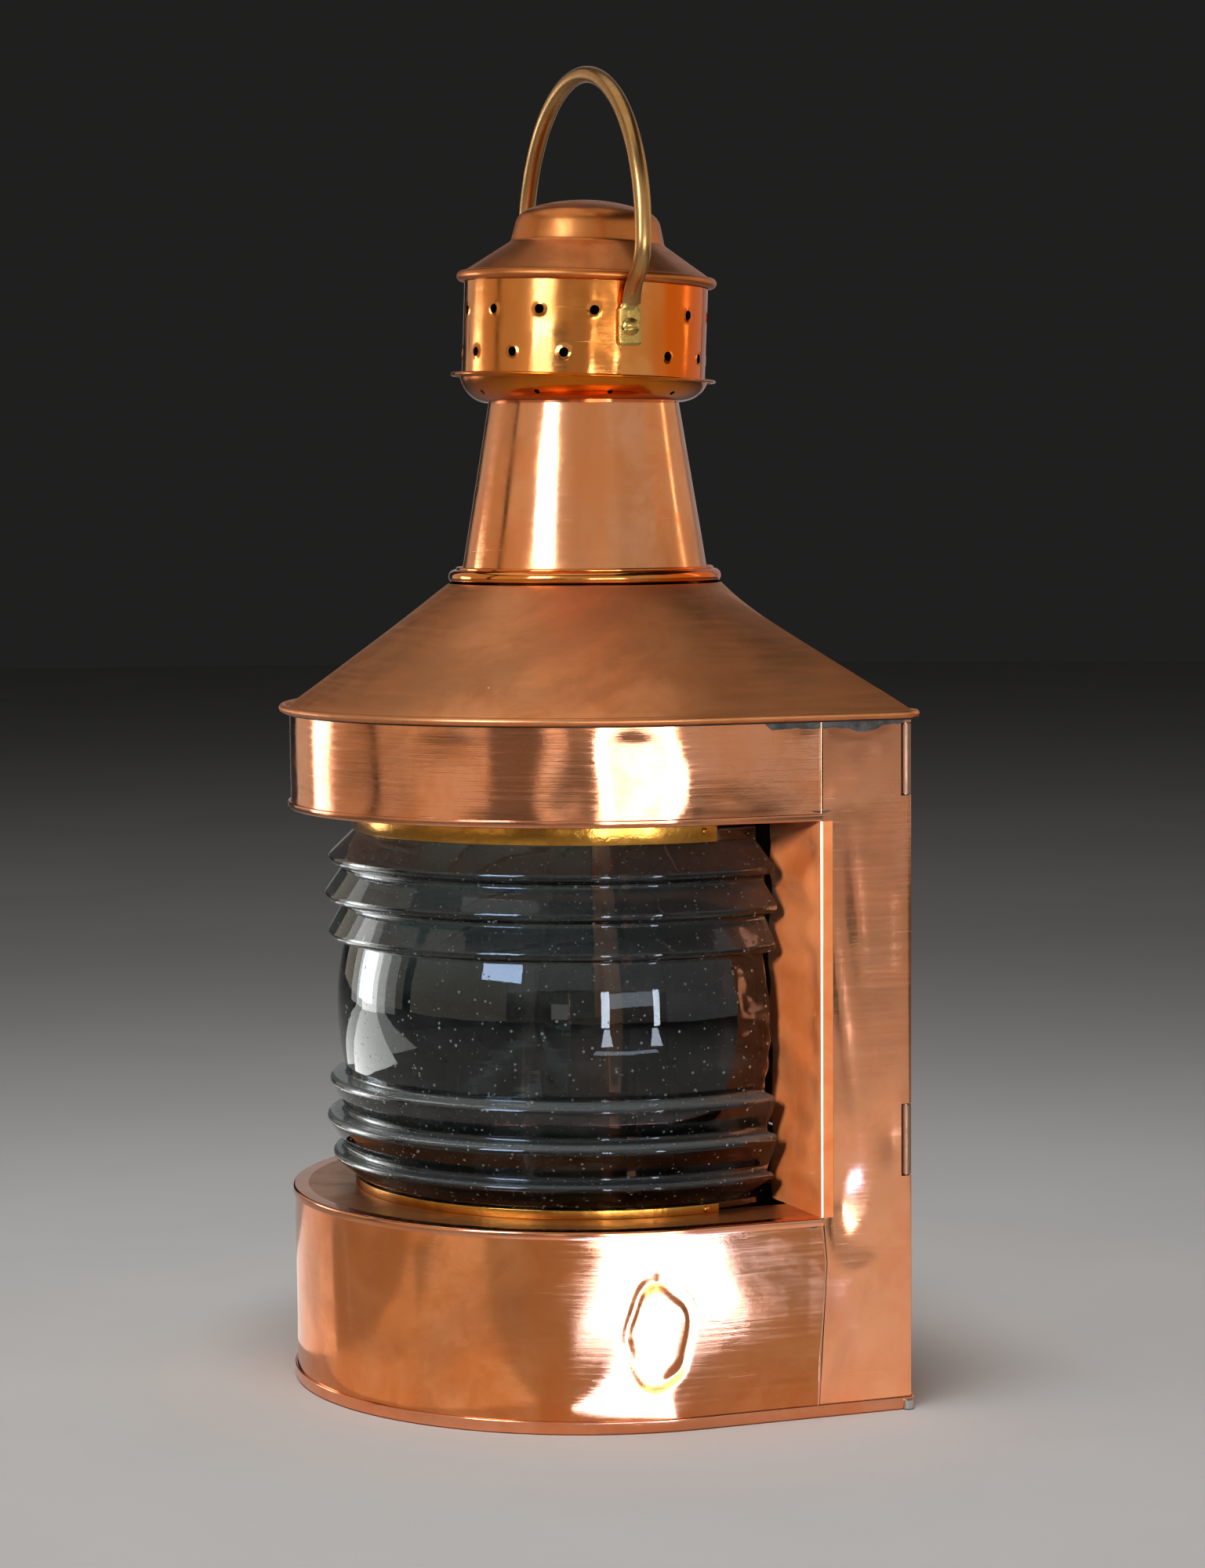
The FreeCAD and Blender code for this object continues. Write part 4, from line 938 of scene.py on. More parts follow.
def make_flat_ring(name, low, high, top_plate):
    """A shelf with its rim turned over the drum; the turned edge is rolled."""
    under_lens, width = 96.0, 36.0
    if top_plate:
        inner_r, plate_z, rim_z = under_lens, high, low
    else:
        inner_r, plate_z, rim_z = span(name)[1].x - width, low, high
    back_z = plate_z + math.copysign(SHEET, rim_z - plate_z)
    outer_r = RADIUS + SHEET
    corners = [
        (inner_r, back_z, 0.2),
        (inner_r, plate_z, 0.3),
        (outer_r, plate_z, 1.0),
        (outer_r + 0.15, rim_z, 0.45),
        (outer_r - SHEET, rim_z, 0.3),
        (outer_r - SHEET, back_z, 0.2),
    ]
    if not top_plate:
        corners[1:] = corners[:0:-1]
    profile = rounded(corners, 0.3)
    dense = line(profile + [profile[0]], 6.0)[:-1]

    def warp(u, r, z):
        return 0.12 * noise_at(u / 22.0, 3.0, inner_r) if r > RADIUS - 2 else 0.0

    shape = Shape()
    sweep(shape, case_stations(SEAM_Y), dense, warp=warp)
    for i, face in enumerate(shape.faces):
        if all(dense[corner % len(dense)][0] < RADIUS - 0.8 for corner in face):
            shape.marks[i] = 1
    add_piece(f"{name}_rolled", shape, "case", [COPPER_BAND, COPPER_LEDGE], [name])


def make_bottom():
    """The bottom plate with its hem turned up round the whole case."""
    low, high = PLATE_LOW.z, PLATE_HIGH.z
    outer, turn_in = RADIUS + SHEET, RADIUS - 3.0
    plate_r = RADIUS - 2.9
    profile = rounded([
        (turn_in, low, 0.0),
        (outer, low, 1.0),
        (outer + 0.1, high, 0.5),
        (RADIUS, high, 0.2),
        (RADIUS, low + SHEET, 0.2),
        (turn_in, low + SHEET, 0.0),
    ], 0.4)

    def warp(u, r, z):
        return 0.16 * noise_at(u / 16.0, z / 6.0, 1.0) * (z - low) / (high - low)

    shape = Shape()
    stations = closed_stations(2.0)
    sweep(shape, stations, profile, closed=True, warp=warp)
    first = len(shape.points)
    for z in (low, low + SHEET):
        shape.points += [outward(station, plate_r, z) for station in stations]
    shape.caps(first, 2, len(stations))
    add_piece("bottom_plate_hemmed", shape, "case", [COPPER_BAND, SOOT_AND_SHADE], ["bottom_plate"])


def panel(shape, side, y0, y1, z0, z1, dents, seed):
    """A flat side strip of the case with dents; side is +1 or -1."""
    outer = line([(RADIUS, z0), (RADIUS, z1)], 2.6)
    profile, inner = shell(outer, SHEET)
    count = math.ceil((y1 - y0) / 1.8)
    stations = []
    for i in range(count + 1):
        y = y0 + (y1 - y0) * i / count
        stations.append((0.0, y, float(side), 0.0, side * (ARC + y)))
    if side < 0:
        stations.reverse()

    def warp(u, r, z):
        fade = min(1.0, (z - z0) / 6.0, (z1 - z) / 6.0, (abs(u) - ARC - y0) / 4.0, (ARC + y1 - abs(u)) / 5.0)
        beaten = dents(u, z) + wavy(u, z, 30.0, 0.34, seed) + wavy(u, z, 11.0, 0.06, seed + 3)
        return max(0.0, fade) * beaten

    sweep(shape, stations, profile, inner, warp=warp)


def rolled_edge(shape, z0, z1):
    """The back edge of the hinged side, rolled round the pin."""
    pin_x, pin_y = (PIN_LOW.x + PIN_HIGH.x) / 2, (PIN_LOW.y + PIN_HIGH.y) / 2
    reach = RADIUS - pin_x
    flat_y = SIDE_HIGH.y - 2 * reach - 0.6
    path = [(RADIUS, flat_y, 1.0, 0.0)]
    steps = 18
    for i in range(steps + 1):
        a = math.radians(250.0 * i / steps)
        nx, ny = math.cos(a), math.sin(a)
        path.append((pin_x + reach * nx, pin_y + reach * ny, nx, ny))
    bevel = 0.3
    section = [
        (0.0, z0 + bevel),
        (0.0, z1 - bevel),
        (-bevel, z1),
        (-SHEET + bevel, z1),
        (-SHEET, z1 - bevel),
        (-SHEET, z0 + bevel),
        (-SHEET + bevel, z0),
        (-bevel, z0),
    ]
    first = len(shape.points)
    for x, y, nx, ny in path:
        for depth, z in section:
            shape.points.append((x + nx * depth, y + ny * depth, z))
    shape.grid(first, len(path), len(section), around=True)
    shape.caps(first, len(path), len(section))


def upright(shape, outline, z0, z1, mark=0):
    """A rounded bar that stands on an outline of (x, y), its ends slightly bevelled."""
    levels = [(z0, 0.25), (z0 + 0.3, 0.0), (z1 - 0.3, 0.0), (z1, 0.25)]
    middle = sum((Vector(point) for point in outline), Vector((0.0, 0.0))) / len(outline)
    first = len(shape.points)
    for z, inset in levels:
        for point in outline:
            spot = Vector(point)
            spot += (middle - spot).normalized() * inset
            shape.points.append((spot.x, spot.y, z))
    shape.grid(first, len(levels), len(outline), around=True, mark=lambda k: mark)
    shape.caps(first, len(levels), len(outline), mark)


def make_sides():
    """The hinged side with its notched roll, and the other side with the stop for the door."""
    pin_y = (PIN_LOW.y + PIN_HIGH.y) / 2
    flat_y = SIDE_HIGH.y - 2 * (SIDE_HIGH.y - pin_y) - 0.6
    shape = Shape()
    panel(shape, 1, SEAM_Y + SEAM_GAP, flat_y, SIDE_LOW.z, SIDE_HIGH.z, RIGHT_DENTS, 11.0)
    follow_lean(shape)
    gap = 0.4
    rolled_edge(shape, SIDE_LOW.z, HINGE_LOW_LOW.z - gap)
    rolled_edge(shape, HINGE_LOW_HIGH.z + gap, HINGE_HIGH_LOW.z - gap)
    rolled_edge(shape, HINGE_HIGH_HIGH.z + gap, SIDE_HIGH.z)
    add_piece("side_right_sheet", shape, "case", [COPPER_SIDE, SOOT_AND_SHADE], ["side_panel_right"])
    shape = Shape()
    panel(shape, -1, SEAM_Y + SEAM_GAP, BACK_Y, LEFT_LOW.z, LEFT_HIGH.z, LEFT_DENTS, 23.0)
    back, front = DOOR_LOW.y - 0.4, DOOR_LOW.y - 0.4 - SHEET
    inner, reach = LEFT_LOW.x + SHEET, LEFT_HIGH.x
    stop = rounded([(inner, front), (reach, front), (reach, back), (inner, back)], 0.35, steps=3)
    upright(shape, stop, DOOR_LOW.z, DOOR_HIGH.z, mark=1)
    add_piece("side_left_sheet", shape, "case", [COPPER_SIDE, SOOT_AND_SHADE], ["side_panel_left"])


def make_screen(name, side):
    """The rippled copper screen beside the lens, its edge lapped round the side panel."""
    tuck, bend = 8.0, 1.1
    flat_steps, bend_steps, lap_steps = 18, 6, 3
    inner_x, outer_x = SCREEN_LOW.x - tuck, SCREEN_HIGH.x
    front, flange = SCREEN_LOW.y, SCREEN_HIGH.y
    low, high = SCREEN_LOW.z, SCREEN_HIGH.z
    path = []
    for i in range(flat_steps + 1):
        path.append((inner_x + (outer_x - bend - inner_x) * i / flat_steps, front, 0.0, -1.0))
    for i in range(1, bend_steps + 1):
        a = math.radians(-90.0 + 90.0 * i / bend_steps)
        nx, ny = math.cos(a), math.sin(a)
        path.append((outer_x - bend + bend * nx, front + bend + bend * ny, nx, ny))
    for i in range(1, lap_steps + 1):
        path.append((outer_x, front + bend + (flange - front - bend) * i / lap_steps, 1.0, 0.0))
    rows = math.ceil((high - low) / 1.6)
    shape = Shape()
    for x, y, nx, ny in path:
        flat = clamp((outer_x - 3.0 - x) / 8.0)
        for inner in (False, True):
            for k in range(rows + 1):
                t = k / rows if not inner else 1.0 - k / rows
                z = low + (high - low) * t
                fade = flat * min(1.0, t * 12.0, (1 - t) * 12.0)
                ripple = 2.1 * noise_at(x / 40.0, z / 13.0, 5.0)
                ripple += 2.7 * noise_at(x / 34.0, z / 28.0, 9.0)
                depth = fade * ripple - (SHEET if inner else 0.0)
                shape.points.append((side * (x + nx * depth), y + ny * depth, z))
    columns = 2 * (rows + 1)
    shape.grid(0, len(path), columns, around=True, mark=lambda k: int(k > rows))
    shape.caps(0, len(path), columns)
    # The faces round the fold take the pale edge finish: tinning and a painted highlight along the fold.
    for i in range(flat_steps + 2, flat_steps + 5):
        for k in range(rows):
            shape.marks[i * columns + k] = 2
    if side < 0:
        shape.flip()
    add_piece(f"{name}_rippled", shape, "case", [COPPER_SCREEN, SOOT_AND_SHADE, TIN_AND_HIGHLIGHT_EDGE], [name])
    # A dark strip standing proud along the lap: painted shadow where the flange meets the side panel.
    lap_shadow = Shape()
    edge = [
        (RADIUS - 0.3, flange),
        (RADIUS + 0.25, flange),
        (RADIUS + 0.2, flange + 0.45),
        (RADIUS - 0.3, flange + 0.5),
    ]
    upright(lap_shadow, [(side * x, y) for x, y in edge][::side], low + 0.5, high - 0.5)
    add_piece(f"{name}_joint", lap_shadow, "case", [SOOT_AND_SHADE])


def seam_bead(side, low, high, wander):
    """The folded edge down each upright join of the drum, a little crooked."""
    shape = Shape()
    setback = 0.4
    rows = math.ceil((high - low) / 2.0)
    section = [(-0.4, -0.55), (0.30, -0.50), (0.62, -0.15), (0.62, 0.20), (0.30, 0.42), (-0.4, 0.45)]
    for k in range(rows + 1):
        z = low + (high - low) * k / rows
        drift = wander * noise_at(z / 22.0, side, 4.0)
        drift += seam_lean(z) if side > 0 else 0.0
        for out, along in section:
            shape.points.append((side * (RADIUS + out), SEAM_Y - setback + along + drift, z))
    shape.grid(0, rows + 1, len(section), around=True)
    shape.caps(0, rows + 1, len(section))
    if side > 0:
        shape.flip()
    return shape


def make_seams():
    """The four upright joins between the bands and the side panels."""
    parts = (
        ("low", PLATE_HIGH.z, LEDGE_LOW.z, 0.35),
        ("high", SOFFIT_HIGH.z, UPPER_HIGH.z - 0.4, 0.25),
    )
    for side, label in ((1, "right"), (-1, "left")):
        for part, low, high, wander in parts:
            shape = seam_bead(side, low, high, wander)
            add_piece(f"seam_{label}_{part}", shape, "case", [SEAM], sharp=60.0)


def smear(name, start, stop, low, high, seed, ragged=1.0):
    """Wiped solder along the case between two distances round it: its free edge is ragged."""
    shape = Shape()
    thick = 0.3
    stations = [st for st in closed_stations(2.0, 0.8) if start <= st[4] <= stop]
    count = len(stations)
    for i, station in enumerate(stations):
        u = station[4]
        end = min(1.0, i / 4.0, (count - 1 - i) / 4.0)
        broad = 0.7 * ragged * noise_at(u / 16.0, seed, 0.0)
        small = 0.16 * ragged * noise_at(u / 4.0, seed, 5.0)
        reach = (high - low) * (0.70 + broad + small)
        reach = max(0.5, min(high - low, reach)) * (0.25 + 0.75 * end)
        lump = thick * (0.55 + 0.45 * noise_at(u / 2.6, seed, 9.0)) * (0.3 + 0.7 * end)
        section = [
            (-0.3, high),
            (0.25 + lump, high),
            (0.2 + lump * 0.8, high - reach * 0.5),
            (0.12 + lump * 0.3, high - reach * 0.9),
            (-0.3, high - reach),
        ]
        shape.points += [outward(station, RADIUS + out, z) for out, z in section]
    shape.grid(0, count, len(section), around=True)
    shape.caps(0, count, len(section))
    shape.flip()
    add_piece(name, shape, "case", [SOLDER], sharp=80.0)


def make_smears():
    """Solder under the eave and at the corners where the bands meet the right-hand side."""
    top = UPPER_HIGH.z + 0.2
    side_end = ARC + BACK_Y - 3.0
    ledge, soffit = LEDGE_LOW.z, SOFFIT_HIGH.z
    smear("solder_eave_right", SEAM_U - 26.0, side_end, top - 5.4, top, 2.0)
    smear("solder_eave_left", -SEAM_U - 0.1, -SEAM_U + 34.0, top - 3.6, top, 6.0)
    smear("solder_ledge_right", SEAM_U - 9.0, SEAM_U - 0.6, ledge - 1.6, ledge + 0.3, 3.0, 0.6)
    smear("solder_soffit_right", SEAM_U - 5.0, SEAM_U + 5.0, soffit - 0.4, soffit + 1.2, 8.0, 0.6)


def flat_sheet(shape, x0, x1, z0, z1, outer_y, depth, uneven):
    """A flat sheet that faces +Y, in a fine grid, its inner side marked for soot and painted shade."""
    columns, rows = math.ceil((x1 - x0) / 3.0), math.ceil((z1 - z0) / 3.0)
    first = len(shape.points)
    for layer in (0, 1):
        for i in range(columns + 1):
            for k in range(rows + 1):
                s, t = i / columns, k / rows
                x, z = x0 + (x1 - x0) * s, z0 + (z1 - z0) * t
                fade = min(1.0, 9 * s, 9 * (1 - s), 9 * t, 9 * (1 - t))
                shape.points.append((x, outer_y - layer * depth + fade * uneven(x, z), z))
    size = (columns + 1) * (rows + 1)

    def spot(layer, corner):
        return first + layer * size + corner[0] * (rows + 1) + corner[1]

    def edge(a, b):
        shape.face((spot(0, a), spot(0, b), spot(1, b), spot(1, a)))

    for i in range(columns):
        for k in range(rows):
            quad = [(i, k), (i, k + 1), (i + 1, k + 1), (i + 1, k)]
            shape.face([spot(0, corner) for corner in quad], 0)
            shape.face([spot(1, corner) for corner in quad][::-1], 1)
    for i in range(columns):
        edge((i, 0), (i + 1, 0))
        edge((i + 1, rows), (i, rows))
    for k in range(rows):
        edge((0, k + 1), (0, k))
        edge((columns, k), (columns, k + 1))


def make_back():
    """The door and the fixed panel below it; the door has a pressed border."""
    frame_in = 13.0

    def pressed(x, z):
        border = min(x - DOOR_LOW.x, DOOR_HIGH.x - x, z - DOOR_LOW.z, DOOR_HIGH.z - z)
        ridge = math.exp(-((border - frame_in) / 2.2) ** 2)
        return 0.65 * ridge + 0.35 * noise_at(x / 38.0, z / 38.0, 14.0) - 0.5

    shape = Shape()
    flat_sheet(shape, DOOR_LOW.x, DOOR_HIGH.x, DOOR_LOW.z, DOOR_HIGH.z, DOOR_HIGH.y, SHEET, pressed)
    add_piece("door_sheet", shape, "door", [COPPER_SIDE, SOOT_AND_SHADE], ["door_panel"])
    shape = Shape()
    flat_sheet(shape, BACK_LOW.x, BACK_HIGH.x, BACK_LOW.z, BACK_HIGH.z, BACK_HIGH.y, SHEET,
               lambda x, z: 0.5 * noise_at(x / 34.0, z / 30.0, 18.0) - 0.3)
    add_piece("back_lower_sheet", shape, "case", [COPPER_SIDE, SOOT_AND_SHADE], ["back_lower_panel"])


def make_corner_lug():
    """The small solder lug left on the hem at the back corner of the hinged side."""
    x0, x1, y0, y1 = RADIUS - 1.5, RADIUS + 2.6, BACK_Y - 6.0, BACK_Y + 0.6
    outline = rounded([(x0, y0), (x1, y0 + 1.2), (x1, y1 - 1.6), (x0, y1)], 1.2, steps=4)
    shape = Shape()
    upright(shape, outline, PLATE_LOW.z + 0.2, PLATE_LOW.z + 4.4)
    add_piece("corner_lug", shape, "case", [STEEL])


def make_case():
    """The drum, its shelves and sides, the screens beside the lens, and the back with its door."""

    def lower_dents(u, z):
        return LOWER_DENTS(u, z) + LOWER_RING(u, z)

    make_bottom()
    make_corner_lug()
    make_band("lower_band", BAND_LOW.z, BAND_HIGH.z, lower_dents, 1.0, COPPER_LOW_SHADED)
    make_band("upper_band", UPPER_LOW.z, UPPER_HIGH.z, UPPER_DENTS, 7.0, COPPER_BAND)
    make_flat_ring("ledge_plate", LEDGE_LOW.z, LEDGE_HIGH.z, True)
    make_flat_ring("soffit_plate", SOFFIT_LOW.z, SOFFIT_HIGH.z, False)
    make_sides()
    make_screen("side_screen_right", 1)
    make_screen("side_screen_left", -1)
    make_back()
    make_seams()
    make_smears()


# ---------------------------------------------------------------- roof and upper works


def eave_stations(side, back):
    """Points of the D-shaped eave, each with the degrees of its rule's end at the round throat."""
    stations = []
    steps = 26
    for i in range(4 * steps):
        t = i / steps
        if t < 1:
            base = (side, back * t)
        elif t < 3:
            base = (side * (2 - t), back)
        else:
            base = (-side, back * (4 - t))
        stations.append((base, 45.0 * t))
    front = 110
    for i in range(front):
        angle = 180.0 + 180.0 * i / front
        a = math.radians(angle)
        stations.append(((side * math.cos(a), side * math.sin(a)), angle))
    return stations


def make_roof():
    """From the D-shaped eave to the round throat, in straight rules, a little uneven."""
    low, high = ROOF_LOW.z + 1.25, ROOF_HIGH.z
    throat, thickness, rows = 60.3, 1.2, 30
    hollow, beaten, flare, flare_share = 0.35, 0.5, 0.9, 0.07
    stations = eave_stations(ROOF_HIGH.x, ROOF_HIGH.y)
    shape = Shape()
    for inner in (False, True):
        first = len(shape.points)
        for base, top in stations:
            a = math.radians(top)
            for k in range(rows + 1):
                v = k / rows
                x = base[0] + (throat * math.cos(a) - base[0]) * v
                y = base[1] + (throat * math.sin(a) - base[1]) * v
                z = low + (high - low) * v
                fade = min(1.0, 6 * v, 6 * (1 - v))
                sag = hollow * math.sin(math.pi * v)
                uneven = fade * (beaten * noise_at(x / 34.0, y / 34.0, 2.0) - sag)
                lip = flare * max(0.0, 1.0 - v / flare_share) ** 2
                shape.points.append((x, y, z + uneven - lip - (thickness if inner else 0.0)))
        if inner:
            for i in range(len(stations)):
                n = (i + 1) % len(stations)
                for k in range(rows):
                    a, b = first + i * (rows + 1) + k, first + n * (rows + 1) + k
                    shape.face((a, a + 1, b + 1, b), 1)
        else:
            shape.grid(first, len(stations), rows + 1, along=True)
    half = len(stations) * (rows + 1)
    for i in range(len(stations)):
        n = (i + 1) % len(stations)
        for k, flip in ((0, True), (rows, False)):
            a, b = i * (rows + 1) + k, n * (rows + 1) + k
            corners = (a, b, b + half, a + half)
            shape.face(corners if not flip else corners[::-1], 1)
    add_piece("roof_sheet", shape, "case", [COPPER_ROOF, SOOT_AND_SHADE], ["roof"], sharp=20.0)


def make_rim():
    """The eave: the sheet flares out and is rolled over a wire."""
    z = (RIM_LOW.z + RIM_HIGH.z) / 2
    wire = (RIM_HIGH.z - RIM_LOW.z) / 2
    profile = arc(RIM_HIGH.x - wire, z, wire, 172.0, -150.0, 20)
    profile += [
        (RADIUS + 0.6, z - wire * 0.55),
        (RADIUS - 0.2, z - wire * 0.3),
        (RADIUS - 0.2, z + 0.4),
        (RADIUS + 0.6, z + 0.5),
    ]
    profile.reverse()

    def warp(u, r, zed):
        return 0.22 * noise_at(u / 30.0, 8.0, 0.0)

    shape = Shape()
    sweep(shape, closed_stations(6.0), profile, closed=True, warp=warp)
    add_piece("roof_rim_rolled", shape, "case", [COPPER_ROOF], ["roof_rim_wire"])


def make_bead():
    """The half-round bead between the roof and the chimney, with a small lip at its top."""
    low, high = BEAD_LOW.z, BEAD_HIGH.z
    outer, inner = BEAD_HIGH.x, 55.2
    bead, lip = 3.1, 0.75
    profile = [(inner, low), (outer - 3.2, low - 0.2)]
    profile += arc(outer - bead, low + 3.0, bead, -70.0, 84.0, 14)
    profile += [(outer - 3.6, high - 0.5)]
    profile += arc(inner + 1.0, high - 0.1, lip, -20.0, 160.0, 8)
    profile += [(inner - 0.2, high - 1.0)]
    shape = Shape()
    lathe(shape, profile, count=TURNED_STEPS, warp=lambda u, r, z: wavy(u, z, 20.0, 0.10, 3.0))
    add_piece("bead_ring_spun", shape, "case", [COPPER_VENT], ["bead_ring"])


def make_chimney():
    """The chimney: a cone of thin sheet that narrows to the ventilator."""
    base, neck = CHIMNEY_HIGH.x, 42.0
    outer = line([(base, CHIMNEY_LOW.z), (neck, CHIMNEY_HIGH.z)], 2.5)
    profile, inner = shell(outer, THIN_SHEET)

    def warp(u, r, z):
        return wavy(u, z * 0.35, 30.0, 0.16, 6.0) + wavy(u, z, 16.0, 0.05, 2.0)

    shape = Shape()
    lathe(shape, profile, inner, TURNED_STEPS, warp)
    add_piece("chimney_sheet", shape, "case", [COPPER_CHIMNEY, SOOT_AND_SHADE], ["chimney"])


def perforated(shape, outer, thickness, columns, holes, burr, warp=None):
    """A shell of revolution with round holes, each given as (degrees, distance along the line, radius)."""
    rows = len(outer)
    run = [0.0]
    for (r0, z0), (r1, z1) in zip(outer, outer[1:]):
        run.append(run[-1] + math.hypot(r1 - r0, z1 - z0))
    step = run[-1] / (rows - 1)
    inside, outside = 2, 5
    ring_gap, burr_reach, far_off = 0.8, 0.7, 99.0
    angle = [TAU * i / columns for i in range(columns)]
    moved, gone, rims = {}, set(), []
    for degrees, along, radius in holes:
        centre = math.radians(degrees) % TAU
        ic, jc = round(centre / TAU * columns), round(along / step)
        ring_r = outer[jc][0]
        rim = []
        for a in range(-outside, outside + 1):
            for b in range(-outside, outside + 1):
                level = max(abs(a), abs(b))
                i, j = (ic + a) % columns, jc + b
                if not 0 <= j < rows:
                    continue
                if level < inside:
                    gone.add((i, j))
                    continue
                flat = ((ic + a) * TAU / columns - centre) * ring_r, run[j] - along
                turn = math.atan2(b, a)
                size = radius + (level - inside) * step * ring_gap
                t = (level - inside) / (outside - inside)
                x = (1 - t) * size * math.cos(turn) + t * flat[0]
                y = (1 - t) * size * math.sin(turn) + t * flat[1]
                moved[i, j] = (centre + x / ring_r, along + y, math.hypot(x, y) - radius)
                if level == inside:
                    rim.append((turn, i, j))
        rims.append([(i, j) for _, i, j in sorted(rim)])

    def at(s):
        s = min(max(s, 0.0), run[-1])
        j = min(int(s / step), rows - 2)
        t = (s - run[j]) / (run[j + 1] - run[j])
        (r0, z0), (r1, z1) = outer[j], outer[j + 1]
        size = math.hypot(r1 - r0, z1 - z0)
        return r0 + (r1 - r0) * t, z0 + (z1 - z0) * t, (z1 - z0) / size, -(r1 - r0) / size

    index = {}
    for layer in (0, 1):
        for i in range(columns):
            for j in range(rows):
                if (i, j) in gone:
                    continue
                turn, along, edge = moved.get((i, j), (angle[i], run[j], far_off))
                r, z, nr, nz = at(along)
                lift = burr * math.exp(-(edge / burr_reach) ** 2) if layer == 0 else -thickness
                lift += warp(turn, z) if warp else 0.0
                r, z = r + nr * lift, z + nz * lift
                index[layer, i, j] = len(shape.points)
                shape.points.append(round_axis(turn, r, z))
    for i in range(columns):
        n = (i + 1) % columns
        for j in range(rows - 1):
            corners = ((i, j), (n, j), (n, j + 1), (i, j + 1))
            if any(corner in gone for corner in corners):
                continue
            shape.face([index[0, a, b] for a, b in corners], 0)
            shape.face([index[1, a, b] for a, b in corners][::-1], 1)
        for j, flip in ((0, False), (rows - 1, True)):
            corners = [index[1, i, j], index[1, n, j], index[0, n, j], index[0, i, j]]
            shape.face(corners[::-1] if flip else corners, 0)
    for rim in rims:
        for (a, b), (c, d) in zip(rim, rim[1:] + rim[:1]):
            shape.face((index[0, a, b], index[1, a, b], index[1, c, d], index[0, c, d]), 0)


def knock_head(shape):
    """The ventilator and cap sit a little crooked on the chimney, down at the back corner."""
    lean = math.sin(math.radians(HEAD_LEAN))
    side = -direction(HEAD_LEAN_AZIMUTH)
    low, full = PAN_LOW.z, PAN_HIGH.z
    for i, point in enumerate(shape.points):
        spot = Vector(point)
        share = clamp((spot.z - low) / (full - low))
        reach = spot.dot(side)
        spot += side * (lean * max(0.0, spot.z - full))
        spot.z -= lean * reach * share
        shape.points[i] = tuple(spot)


def even_steps(path, count):
    """The same open line with points at equal distances along it."""
    total = sum(math.dist(a, b) for a, b in zip(path, path[1:]))
    result = [path[0]]
    run, k = 0.0, 0
    for i in range(1, count + 1):
        want = total * i / count
        while k < len(path) - 2 and run + math.dist(path[k], path[k + 1]) < want - 1e-9:
            run += math.dist(path[k], path[k + 1])
            k += 1
        t = (want - run) / math.dist(path[k], path[k + 1])
        result.append(tuple(Vector(path[k]).lerp(Vector(path[k + 1]), t)))
    return result


def make_pan():
    """The dished pan under the ventilator, with a rolled flange and a ring of small holes."""
    neck, low = 42.4, PAN_LOW.z
    flange_r, top = PAN_HIGH.x, PAN_HIGH.z
    bowl_r, bowl_z = 54.6, top - 1.1
    bend = 13.0
    chord = math.hypot(bowl_r - neck, bowl_z - low)
    sweep_angle = 2 * math.asin(chord / 2 / bend)
    tilt = math.atan2(bowl_z - low, bowl_r - neck)
    start = tilt - sweep_angle / 2
    path = [(neck - 1.0, low - 0.1)]
    steps = 12
    for i in range(steps + 1):
        a = start + sweep_angle * i / steps
        r = neck + bend * (math.sin(a) - math.sin(start))
        path.append((r, low + bend * (math.cos(start) - math.cos(a))))
    path += [(bowl_r + 0.6, bowl_z + 0.5), (flange_r - 1.0, top - 0.9)]
    total = sum(math.dist(a, b) for a, b in zip(path, path[1:]))
    count = round(total / 0.62)
    outer = even_steps(path, count)
    hole_circle = 50.5
    along = next(i for i, (r, _) in enumerate(outer) if r > hole_circle) * total / count
    first_hole, apart, hole = 82.0, 36.0, 1.25
    holes = [(first_hole + apart * i, along, hole) for i in range(10)]
    shape = Shape()
    perforated(shape, outer, THIN_SHEET, 480, holes, 0.05)
    rim = arc(flange_r - 0.75, top - 0.55, 0.75, -170.0, 170.0, 14)
    lathe(shape, rim, count=240, warp=lambda u, r, z: wavy(u, 0.0, 18.0, 0.12, 4.0))
    knock_head(shape)
    add_piece("vent_pan_dished", shape, "case", [COPPER_PAN, SOOT_AND_SHADE], ["vent_pan"])


def make_collar():
    """The perforated drum: two staggered rows of punched holes, with none beside the bail's tabs."""
    radius, low, high = COLLAR_HIGH.x, COLLAR_LOW.z, COLLAR_HIGH.z
    rows = math.ceil((high - low) / 0.72)
    outer = [(radius, low + (high - low) * i / rows) for i in range(rows + 1)]
    count, hole = 14, 2.1
    beside_tabs = (0, count // 2)
    holes = []
    for start, z in ((99.0, 469.2), (85.5, 450.9)):
        for i in range(count):
            if i not in beside_tabs:
                holes.append((start + 360.0 / count * i, z - low, hole))

    def warp(turn, z):
        u = turn * radius
        return wavy(u, z * 0.5, 17.0, 0.16, 12.0) + wavy(u, z, 9.0, 0.05, 3.0)

    shape = Shape()
    perforated(shape, outer, THIN_SHEET, 468, holes, 0.30, warp)
    knock_head(shape)
    add_piece("vent_collar_punched", shape, "case", [COPPER_VENT, SOOT_AND_SHADE], ["vent_collar"])


